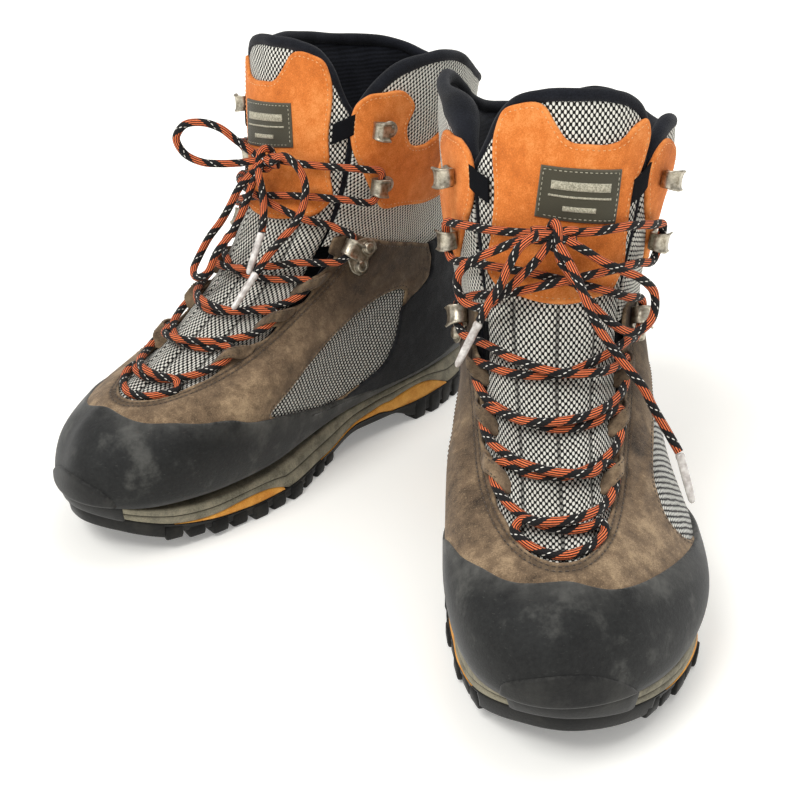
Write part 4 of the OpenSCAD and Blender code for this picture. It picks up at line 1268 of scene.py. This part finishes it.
def make_bumper():
    edge = outline([(*BUMPER[0], 1), *BUMPER[1:6], (*BUMPER[6], 1), BUMPER[7]])
    panel("toe_guard", edge, 3.3, 1.7, BUMPER_RUBBER, "rand_rubber", radius=1.3, spacing=2.5,
          replaces=["toe_bumper"])
    us = np.linspace(-0.056, 0.066, 90)
    k = np.sqrt(np.clip(np.minimum(us + 0.0565, 0.0665 - us) / 0.01, 0, 1))
    points, faces = sole_strip(us, [
        (-1.5, raised(web_top, -1.4)), (0.6 + 1.0 * k, raised(web_top, -1.2)),
        (0.7 + 1.5 * k, raised(web_top, -0.2)), (0.7 + 1.7 * k, between(web_top, welt, 0.35)),
        (0.7 + 1.7 * k, between(web_top, welt, 0.8)), (0.6 + 1.5 * k, raised(welt, 0.8)),
        (0.3 + 1.3 * k, raised(welt, 2.0)), (-0.4 + 1.0 * k, raised(welt, 3.2)), (-2.5, raised(welt, 3.4))])
    both("toe_wrap", points, faces, BUMPER_RUBBER, "rand_rubber", rim=np.full(len(points), NO_RIM))


make_rand()
make_bumper()

# The suede's throat, rear and top edges on the inner side, from the bottom at the rear
SUEDE_EDGE = (
    (-0.300, 0.112, 1), (-0.302, 0.254), (-0.301, 0.355), (-0.312, 0.374), (-0.321, 0.4),
    (-0.321, 0.459), (-0.311, 0.512, 1), (-0.252, 0.592), (-0.185, 0.666), (-0.139, 0.7),
    (-0.122, 0.702, 1), (-0.128, 0.676), (-0.146, 0.652), (-0.14, 0.634), (-0.124, 0.627),
    (-0.119, 0.613), (-0.124, 0.6), (-0.144, 0.592), (-0.144, 0.578), (-0.116, 0.572),
    (-0.102, 0.557), (-0.107, 0.543), (-0.127, 0.533), (-0.124, 0.517), (-0.1, 0.51),
    (-0.083, 0.498), (-0.082, 0.481), (-0.092, 0.466), (-0.09, 0.45), (-0.074, 0.433),
    (-0.06, 0.415), (-0.042, 0.404), (-0.02, 0.4))
WINDOW = ((-0.262, 0.163), (-0.247, 0.155), (-0.229, 0.166), (-0.208, 0.197), (-0.188, 0.226),
          (-0.182, 0.243), (-0.194, 0.292), (-0.207, 0.362), (-0.233, 0.417), (-0.262, 0.431),
          (-0.293, 0.406), (-0.297, 0.347), (-0.293, 0.235), (-0.282, 0.18))
OUTER_WINDOW = ((0.262, 0.163), (0.247, 0.155), (0.229, 0.166), (0.208, 0.197), (0.185, 0.22),
                (0.172, 0.24), (0.162, 0.285), (0.169, 0.365), (0.2, 0.412), (0.24, 0.432),
                (0.293, 0.406), (0.297, 0.347), (0.293, 0.235), (0.282, 0.18))
THROAT_SEAM = ((-0.167, 0.678), (-0.174, 0.64), (-0.169, 0.59), (-0.153, 0.54), (-0.135, 0.49),
               (-0.115, 0.44), (-0.088, 0.405), (-0.05, 0.387), (0, 0.382))


def make_suede():
    bottom = [(u, float(rand_top(u)) - 0.022) for u in np.linspace(0.285, -0.285, 36)]
    edge = outline([*SUEDE_EDGE, *mirrored(SUEDE_EDGE), *bottom])
    windows = [outline(WINDOW), outline(OUTER_WINDOW)]
    seam = outline([*THROAT_SEAM, *mirrored(THROAT_SEAM)[1:]], closed=False)
    second = inward(seam, 2.3, closed=False)
    grooves = [(seam, 0.9, 0.3), (second, 0.9, 0.3)]
    loops = panel("vamp_suede", edge, 1.45, 0.03, BROWN, "brown_suede", radius=0.9, holes=windows,
                  grooves=grooves, spacing=2.3, replaces=["suede_vamp"])
    lines = [(seam, 1.2), (second, 1.2), *[(edge_line(loop, 2.0), 1.45) for loop in loops[1:]]]
    top_edge = outline(SUEDE_EDGE[5:10], closed=False)
    for way in (1, -1):
        lines.append((inward(top_edge * [way, 1], -2.2 * way, closed=False), 1.45))
    sewn("suede_stitches", lines, BROWN_THREAD, "brown_suede")
    for label, window in zip(("medial", "lateral"), windows):
        panel("side_mesh_" + label, inward(turned(window, 1), -4.5), -0.5, -2.3, SIDE_CLOTH, "dotted_mesh",
              radius=0.5, puff=2.2, spacing=3.0, replaces=["side_mesh"])


make_suede()


def make_loops():
    """Three folded suede tabs on each side of the throat, each over the lace."""
    parts, lines = [], []
    s = np.linspace(-1, 1, 33)
    S, T = np.meshgrid(s, np.linspace(-1, 1, 15), indexing="ij")
    bell = np.exp(-np.abs(S / 0.6) ** 3.2)
    tuck = 1.9 * ease((S - 0.72) / 0.28)
    narrow = (1 - 0.1 * np.exp(-(S / 0.5) ** 2)) * (1 - 0.55 * ease((np.abs(S) - 0.7) / 0.3) ** 2)
    for u0, low, high in ((0.13, 0.6, 0.627), (0.112, 0.543, 0.571), (0.092, 0.475, 0.506)):
        for way in (-1, 1):
            wide = (high - low) / 2 * narrow
            U = way * (u0 - 0.023 * S * np.where(S > 0, 0.86, 1.12))
            V = (low + high) / 2 + T * wide
            half = 0.62 * np.sqrt(np.maximum(1 - 0.75 * np.abs(T) ** 8, 0.05))
            points, faces = plate(at(U, V, 1.0 + 4.85 * bell + 0.35 * (1 - T**2) - tuck), half)
            parts.append((points, flipped(faces, -way)))
            for edge_t in (-0.68, 0.68):
                k = np.abs(s) < 0.93
                v = (low + high) / 2 + edge_t * wide[:, 0]
                d = 1.0 + 4.85 * bell[:, 0] + 0.62 + 0.2 - tuck[:, 0]
                lines.append((np.stack([U[:, 0], v], -1)[k], d[k]))
    points, faces = join(parts)
    both("lace_tabs", points, faces, BROWN, "brown_suede", replaces=["lace_loops"],
         rim=np.full(len(points), 1.5))
    sewn("loop_stitches", lines, BROWN_THREAD, "brown_suede", pitch=2.2, length=1.5, radius=0.26)


make_loops()


# ---- Upper: heel, cuff, collar and lining -----------------------------------------------------
def make_heel():
    side = [(0.236, 0.142, 1), (0.251, 0.153), (0.269, 0.169), (0.284, 0.193), (0.292, 0.24),
            (0.2955, 0.3), (0.2965, 0.35), (0.302, 0.367), (0.314, 0.38), (0.3228, 0.402),
            (0.3228, 0.459), (0.313, 0.512, 1)]
    top = [(u, float(cuff_base(u)) + 0.008) for u in np.linspace(0.33, 0.67, 16)]
    low = [(u, float(rand_top(u if u < 0.5 else u - 1)) - 0.012) for u in np.linspace(0.72, 0.28, 24)]
    edge = outline([*side, *top, *mirrored(side, 1), *low])
    seam_a = outline([(0.345, 0.53), (0.36, 0.42), (0.375, 0.3), (0.38, 0.16)], closed=False)
    seam_b = seam_a * [-1, 1] + [1, 0]
    back = outline([(0.5, 0.5), (0.5, 0.17)], closed=False)
    grooves = [(seam_a, 1.0, 0.5), (seam_b, 1.0, 0.5), (back, 1.1, 0.5)]
    panel("heel_counter", edge, 2.0, -1.3, HEEL, "navy_cloth", radius=0.9, grooves=grooves,
          spacing=2.8, centre=(0.5, 0.3), replaces=["heel_cap"])
    lines = [(inward(seam, mm, closed=False), 1.85) for seam, *_ in grooves for mm in (1.5, -1.5)]
    sewn("heel_stitches", lines, DARK_THREAD, "navy_cloth")


def make_cuff():
    us = np.linspace(0.112, 0.888, 48)
    top = [(u, float(collar_top(u)) - 0.001) for u in us[::-1]]
    low = [(u, float(cuff_base(u)) - 0.018) for u in us]
    edge = outline([(*low[0], 1), *low[1:-1], (*low[-1], 1), (*top[0], 1), *top[1:-1], (*top[-1], 1)])
    back = outline([(0.5, 0.87), (0.5, 0.46)], closed=False)
    panel("cuff_cloth", edge, -0.35, -2.4, CUFF_CLOTH, "dotted_mesh", radius=0.8, spacing=3.0,
          puff=0.8, grooves=[(back, 1.2, 0.7)], centre=(0.5, 0.8), replaces=["cuff_shell"], padded=0.6)


PATCH = ((-0.104, 0.9), (-0.108, 0.918), (-0.125, 0.933), (-0.147, 0.935), (-0.18, 0.93),
         (-0.194, 0.908), (-0.186, 0.876), (-0.194, 0.846), (-0.217, 0.833), (-0.25, 0.846),
         (-0.31, 0.828), (-0.38, 0.76, 1), (-0.383, 0.64, 1), (-0.291, 0.656), (-0.209, 0.711),
         (-0.185, 0.722), (-0.163, 0.755), (-0.132, 0.815), (-0.108, 0.868))
OUTER_PATCH = ((0.108, 0.9), (0.116, 0.918), (0.133, 0.934), (0.17, 0.934), (0.194, 0.92),
               (0.2, 0.885), (0.203, 0.85), (0.217, 0.835), (0.25, 0.846), (0.31, 0.828),
               (0.38, 0.76, 1), (0.383, 0.64, 1), (0.291, 0.656), (0.209, 0.708), (0.188, 0.724),
               (0.17, 0.755), (0.142, 0.81), (0.115, 0.868))


def make_patches():
    for label, corners in (("medial", PATCH), ("lateral", OUTER_PATCH)):
        loops = panel("cuff_patch_" + label, outline(corners), 1.65, -0.1, ORANGE, "orange_suede",
                      radius=0.8, spacing=2.3, replaces=["cuff_patches"])
        sewn("cuff_patch_stitches_" + label, [(edge_line(loops[0], 2.1), 1.6)], ORANGE_THREAD,
             "orange_suede", pitch=2.3, length=1.3, radius=0.24)


def collar_roll(full):
    """The padded roll that binds the collar's edge; full is how far its inner front end is plumped."""
    us = np.linspace(0.107, 0.893, 420)
    ends = np.sqrt(np.clip(np.minimum(us - 0.1065, 0.8935 - us) / 0.012, 0.03, 1))
    bumps = 1 + 0.05 * np.sin(us * 90) * np.sin(us * 37)
    soft = full * hump(us, 0.83, 0.06) + 0.8 * hump(us, 0.165, 0.055)
    line = at(us, collar_top(us) + 0.003 - 0.002 * soft, -2.7 - 0.95 * soft)
    return tube(line, (3.1 + soft) * ends * bumps, 20)[:2]


LINING_OUTSIDE = -3.15


def make_lining():
    s, t = np.meshgrid(np.linspace(0, 1, 190), np.linspace(0, 1, 70))
    u = 0.14 + 0.72 * s
    v = 0.17 + (collar_top(u) - 0.002 - 0.17) * t
    rim = ease(np.minimum(np.minimum(s, 1 - s) / 0.03, (1 - t) / 0.06))
    quilt = 0.35 * np.sin(u * 61) * np.sin(t * 23) + 0.5 * (1 - np.exp(-((t - 0.8) / 0.012) ** 2)) - 0.5
    ankle = sheet_between(u, v, LINING_OUTSIDE, -3.6 - 3.3 * rim - quilt)
    s, t = np.meshgrid(np.linspace(-1, 1, 60), np.linspace(0, 1, 24))
    u, v = 0.128 * s, 0.17 + 0.215 * t
    toe = sheet_between(u, v, LINING_OUTSIDE, -6.9)
    both("lining_cloth", *join([ankle, toe]), NAVY, "navy_cloth", replaces=["lining"], padded=0.5)
    for boot, full in zip(BOOTS, (3.8, 0.4)):
        piece = make_piece(boot, "collar_roll", *collar_roll(full), PIPING, "navy_cloth",
                           replaces=["collar_rim"])


make_heel()
make_cuff()
make_patches()
make_lining()

# ---- Tongue -----------------------------------------------------------------------------------
tongue_top = table([(-0.13, 0.88), (-0.107, 0.905), (-0.09, 0.934), (-0.075, 0.96), (-0.058, 0.978),
                    (-0.029, 0.988), (0.01, 0.99), (0.053, 0.987), (0.08, 0.978), (0.098, 0.962),
                    (0.107, 0.94), (0.13, 0.9)])


# Where the tongue's foot is in v, and the millimetres for a whole turn of u by the throat
TONGUE_FOOT, THROAT_TURN = 0.39, 420


def tongue_half(v):
    """Half the tongue's width as a share of the turn."""
    return 0.124 - 0.016 * ease((v - 0.62) / 0.1)


def bend(pieces, start, end):
    """Bakes each boot's piece into its mesh where it stands; start and end are placed but not used further.
    """
    for boot, piece in zip(BOOTS, pieces):
        ends = [tuple(boot.place(p)) for p in (start, end)]
        boot.body()
        boot.body("tongue")
        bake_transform(piece)


def make_tongue():
    s, t = np.meshgrid(np.linspace(-1, 1, 121), np.linspace(0, 1, 230))
    v = TONGUE_FOOT + (1 - TONGUE_FOOT) * t
    half_width = tongue_half(v)
    u = s * half_width
    v = TONGUE_FOOT + (tongue_top(u) - TONGUE_FOOT) * t
    high = ease((v - 0.62) / 0.09)
    across = (1 - np.abs(s)) * half_width * THROAT_TURN
    down = (1 - t) * 200
    k = np.clip(np.minimum(across, down) / 4.0, 0, 1)
    k = np.sqrt(np.maximum(1 - (1 - k) ** 2, 0.03))
    channel = np.zeros_like(u)
    for line in (-0.055, 0.0, 0.055):
        near = np.abs(u - line * (1 + 0.25 * (v - 0.5))) * THROAT_TURN
        channel = np.maximum(channel, np.exp(-(near / 1.3) ** 2))
    channel = channel * ease((0.76 - v) / 0.03)
    front = -1.1 + 0.75 * high + 0.55 * ease((0.76 - v) / 0.04) - 1.0 * channel
    back = -5.0 - 3.9 * high
    middle, half = (front + back) / 2, (front - back) / 2 * k
    points, faces = sheet_between(u, v, middle + half, middle - half)
    uv = flatten(np.stack([u.ravel(), v.ravel()], -1), (0.0, 0.7))
    # The channels are given to the tongue's cloth as seams, which it darkens as painted shade.
    pieces = both("tongue_cloth", points, faces, TONGUE_CLOTH, "dotted_mesh", uv=twice(uv), ride=False,
                  replaces=["tongue_lower", "tongue_upper"], seams=twice(channel.ravel()))
    start, end = surf(0.0, 0.6) - 5 * normal(0.0, 0.6), surf(0.0, 0.7) - 5 * normal(0.0, 0.7)
    bend(pieces, start, end)


def make_tongue_edging():
    """The tongue's navy binding along its sides and top, and the soft cloth on its back."""
    v = np.linspace(0.72, 0.9, 60)
    u = np.linspace(-0.1075, 0.1075, 120)
    side = np.stack([-tongue_half(v) + 0.0015, v], -1)
    over = np.stack([u, tongue_top(u) + 0.001], -1)
    over = over[over[:, 1] > 0.902]
    run = np.concatenate([side, over, (side * [-1, 1])[::-1]])
    run = curve_through(run[::6] * DRAWN, 2.0) / DRAWN
    top = ease((run[:, 1] - 0.93) / 0.05)
    line = at(run[:, 0], run[:, 1], -1.9 - 0.5 * top)
    ends = np.sqrt(np.clip(np.minimum(np.arange(len(run)), np.arange(len(run))[::-1]) / 4, 0.05, 1))
    points, faces, _ = tube(line, (1.5 + 1.25 * top) * ends, 14)
    both("tongue_binding", points, faces, PIPING, "navy_cloth", body="tongue")
    s, t = np.meshgrid(np.linspace(-1, 1, 61), np.linspace(0, 1, 90))
    u = 0.95 * s * tongue_half(0.72 + 0.27 * t)
    v = 0.72 + (tongue_top(u) - 0.006 - 0.72) * t
    rim = ease((1 - np.maximum(np.abs(s), 2 * t - 1)) / 0.08)
    back = sheet_between(u, v, -8.6, -8.9 - 0.9 * rim)
    both("tongue_backing", *back, NAVY, "navy_cloth", body="tongue")


TONGUE_PATCH = ((-0.077, 0.876), (-0.076, 0.955), (-0.069, 0.972), (-0.05, 0.982), (-0.023, 0.98),
                (-0.011, 0.962), (-0.001, 0.949), (0.024, 0.943), (0.059, 0.944), (0.083, 0.959),
                (0.1, 0.961), (0.105, 0.948), (0.1, 0.92), (0.085, 0.885), (0.088, 0.823),
                (0.094, 0.775), (0.085, 0.757), (0.045, 0.748), (0, 0.746), (-0.045, 0.75),
                (-0.085, 0.76), (-0.094, 0.775), (-0.085, 0.821))
LABEL_CORNERS = np.array([(-0.031, 0.863), (0.061, 0.85), (0.062, 0.914), (-0.025, 0.922)])


def on_label(a, b):
    """A (u, v) point on the label; a goes across it and b up it, both from 0 to 1."""
    p = LABEL_CORNERS
    return tuple((1 - b) * ((1 - a) * p[0] + a * p[1]) + b * ((1 - a) * p[3] + a * p[2]))


def on_label_box(a0, a1, b0, b1):
    return [(*on_label(a, b), 1) for a, b in ((a0, b0), (a1, b0), (a1, b1), (a0, b1))]


def make_tongue_patch():
    loops = panel("tongue_suede", outline(TONGUE_PATCH), 1.45, -0.2, ORANGE, "orange_suede",
                  body="tongue", radius=0.8, spacing=2.2, replaces=["tongue_patch"])
    sewn("tongue_patch_stitches", [(edge_line(loops[0], 2.1), 1.4)], ORANGE_THREAD, "orange_suede",
         body="tongue", pitch=2.3, length=1.3, radius=0.24)
    loops = panel("label_cloth", outline(on_label_box(0, 1, 0, 1)), 2.3, 1.3, LABEL, "label_cloth",
                  body="tongue", radius=0.4, spacing=1.8, replaces=["tongue_label"])
    sewn("label_stitches", [(edge_line(loops[0], 1.3), 2.3)], PALE_THREAD, "label_cloth", body="tongue",
         pitch=2.1, length=1.3, radius=0.22)
    parts = []
    for box in ((0.14, 0.86, 0.6, 0.76), (0.12, 0.88, 0.46, 0.5), (0.3, 0.7, 0.2, 0.3)):
        edge = outline(on_label_box(*box), step=0.8)
        uv, tris, far, _ = panel_mesh(edge, (), 1.2, rows=(0.3,))
        parts.append(close_up(uv, tris, rounded(far, 2.75, 0.4), 2.1))
    both("label_bars", *join(parts), PALE_THREAD, "label_cloth", body="tongue")


def make_straps():
    for label, way in (("medial", -1), ("lateral", 1)):
        s, t = np.meshgrid(np.linspace(0, 1, 26), np.linspace(-1, 1, 11), indexing="ij")
        u = way * (0.082 + 0.036 * s)
        v = 0.884 + 0.016 * s + 0.0145 * t
        d = 1.5 + 0.4 * np.sin(PI * s) - 1.2 * s**3
        points, faces = sheet_between(u, v, d + 0.45, d - 0.45)
        uv = np.stack([s.ravel() * 18, t.ravel() * 5.0], -1)
        pieces = both("tongue_strap_" + label, points, flipped(faces, -way), WEB, "elastic_web",
                      uv=twice(uv), ride=False, replaces=["tongue_straps"])
        start, end = at(way * 0.112, 0.9, 1.0), at(way * 0.084, 0.885, 1.0)
        bend(pieces, start, end)


make_tongue()
make_tongue_edging()
make_tongue_patch()
make_straps()


# ---- Metal fittings ---------------------------------------------------------------------------
def stand(solid, u, v, d, turn=0.0):
    """Stands a solid on the upper: its Z outwards, Y to the rear, X down the boot."""
    n = normal(u, v)
    theta, phi = math.acos(n[2]), math.atan2(n[1], n[0])
    x = np.array([math.cos(phi) * math.cos(theta), math.sin(phi) * math.cos(theta), -math.sin(theta)])
    y = np.array([-math.sin(phi), math.cos(phi), 0]) * (-1 if u < 0 else 1)
    c, s = math.cos(math.radians(turn)), math.sin(math.radians(turn))
    return set_on(*solid, c * x + s * y, -s * x + c * y, n, at(u, v, d))


def hook_solid(tail):
    """A bent hook: a flat tail, a round bend and a waisted plate with flared rims."""
    r = 3.6
    flat = [(y, 0.5, 0.0, 3.4) for y in np.linspace(tail, 0.6, 6)]
    bend = [(-r * math.sin(a), 0.5 + r - r * math.cos(a), a / PI, 3.4 + 0.9 * a / PI)
            for a in np.linspace(0, PI, 15)]
    plate_top = [(y, 0.5 + 2 * r, 1.0, 4.3) for y in np.linspace(0.5, 3.9, 8)]
    path = np.array(flat + bend + plate_top)
    w = np.linspace(-1, 1, 17)[None]
    y, z, g, half = (path[:, k:k + 1] for k in range(4))
    x = w * half
    y = y * (1 - 0.2 * (1 - w**2) * g)
    z = z + 0.85 * np.abs(w) ** 6 * g - 0.25 * (1 - w**2) * g
    middle = np.stack([x, y, z + 0 * w], -1)
    return plate(middle, 0.45)


def rivet(radius, height):
    r = radius
    return revolve([(r, 0), (r, 0.35), (r - 0.15, 0.5), (r - 0.55, 0.55), (r - 0.75, 0.4), (r - 0.95, 0.45),
                    (r - 1.05, height * 0.6), (r - 1.5, height * 0.9), (r - 2.1, height), (0.05, height)], 28)


def washer(radius):
    return revolve([(radius, 0), (radius, 0.7), (radius - 0.3, 1.05), (radius - 0.9, 1.1), (0.05, 1.1)], 36)


def instep_base():
    y = np.linspace(-1, 15.6, 26)[:, None]
    w = np.linspace(-1, 1, 21)[None]
    half = 4.3 + 5.2 * ease((y - 1) / 8) - 3.5 * ease((y - 12) / 5)
    notch = 1.6 * np.exp(-(w * 2.6) ** 2) * ease((y - 10) / 6)
    middle = np.stack([w * half, y - notch, 0.5 + 0 * w * y], -1)
    return plate(middle, 0.45)


CUFF_HOOKS = ((0.152, 0.789), (0.141, 0.886))
INSTEP_HOOK = (0.155, 0.668)
SEAT = 1.8


def lifted(solid, x, y, z):
    return solid[0] + [x, y, z], solid[1]


def make_fittings():
    hooks, instep, rivets = [], [], []
    for way in (-1, 1):
        for u, v in CUFF_HOOKS:
            hooks += [stand(s, way * u, v, SEAT, -8) for s in (hook_solid(5), lifted(washer(4.1), 0, 6.0, 0))]
            rivets.append(stand(lifted(rivet(3.5, 2.2), 0, 6.0, 0.8), way * u, v, SEAT, -8))
        u, v = INSTEP_HOOK
        instep += [stand(s, way * u, v, SEAT, -35) for s in (hook_solid(5), instep_base())]
        for x in (-5, 5):
            rivets.append(stand(lifted(rivet(3.9, 2.1), x, 11, 0.8), way * u, v, SEAT, -35))
    both("cuff_hook_plates", *join(hooks), NICKEL, "nickel", replaces=["cuff_hooks"])
    both("instep_hook_plates", *join(instep), NICKEL, "nickel", replaces=["instep_hooks"])
    both("rivet_heads", *join(rivets), NICKEL, "nickel", replaces=["hook_rivets"])


def make_pull_strap():
    s, t = np.meshgrid(np.linspace(0, 1, 40), np.linspace(-1, 1, 11), indexing="ij")
    u, v = 0.5 + 0.0145 * t, 0.73 + 0.108 * s
    d = 0.9 + 1.9 * np.sin(PI * s) ** 2
    points, faces = sheet_between(u, v, d + 0.7, d - 0.6)
    uv = np.stack([s.ravel() * 30, t.ravel() * 5.5], -1)
    both("heel_pull", points, faces, WEB, "elastic_web", uv=twice(uv), replaces=["pull_strap"])


make_fittings()
make_pull_strap()


# ---- Stage ------------------------------------------------------------------------------------
def make_floor():
    mesh = bpy.data.meshes.new("floor")
    mesh.from_pydata([(-4, -3, 0), (4, -3, 0), (4, 6, 0), (-4, 6, 0)], [], [(0, 1, 2, 3)])
    # The floor glows with painted light: evenly, and more away from the boots, so the far floor reads white
    # while the shadows near the boots stay.
    f = Finish("floor", Roughness=0.8, Specular_IOR_Level=0.05, Emission_Color=(1.0, 0.995, 0.98, 1))
    x, y, _ = f.place.parts()
    away = (x * x + y * y).math("SQRT")
    f.feed(f.shader.inputs["Emission Strength"], away.step(230, 420) * 0.26 + 0.2)
    f.finish(f.mix(f.noise(300), (248, 246, 239), (251, 250, 245)))
    mesh.materials.append(f.material)
    floor = bpy.data.objects.new("floor", mesh)
    bpy.context.collection.objects.link(floor)


def make_light(name, place, aim_at, size, power, colour=(1, 1, 1)):
    data = bpy.data.lights.new(name, "AREA")
    data.shape, data.size, data.energy, data.color = "DISK", size, power, colour
    lamp = bpy.data.objects.new(name, data)
    lamp.location = place
    lamp.rotation_euler = (Vector(aim_at) - Vector(place)).to_track_quat("-Z", "Y").to_euler()
    bpy.context.collection.objects.link(lamp)


def make_world():
    world = bpy.data.worlds.new("studio")
    world.use_nodes = True
    background = world.node_tree.nodes["Background"]
    background.inputs["Color"].default_value = (1, 1, 1, 1)
    background.inputs["Strength"].default_value = 0.62
    bpy.context.scene.world = world
    bpy.context.scene.view_settings.view_transform = "Standard"


make_floor()
make_world()
make_light("key", (-0.7, -0.9, 1.7), (0, 0, 0.1), 0.9, 21)
make_light("top", (0.5, 0.2, 1.9), (0, 0, 0.1), 1.4, 9)
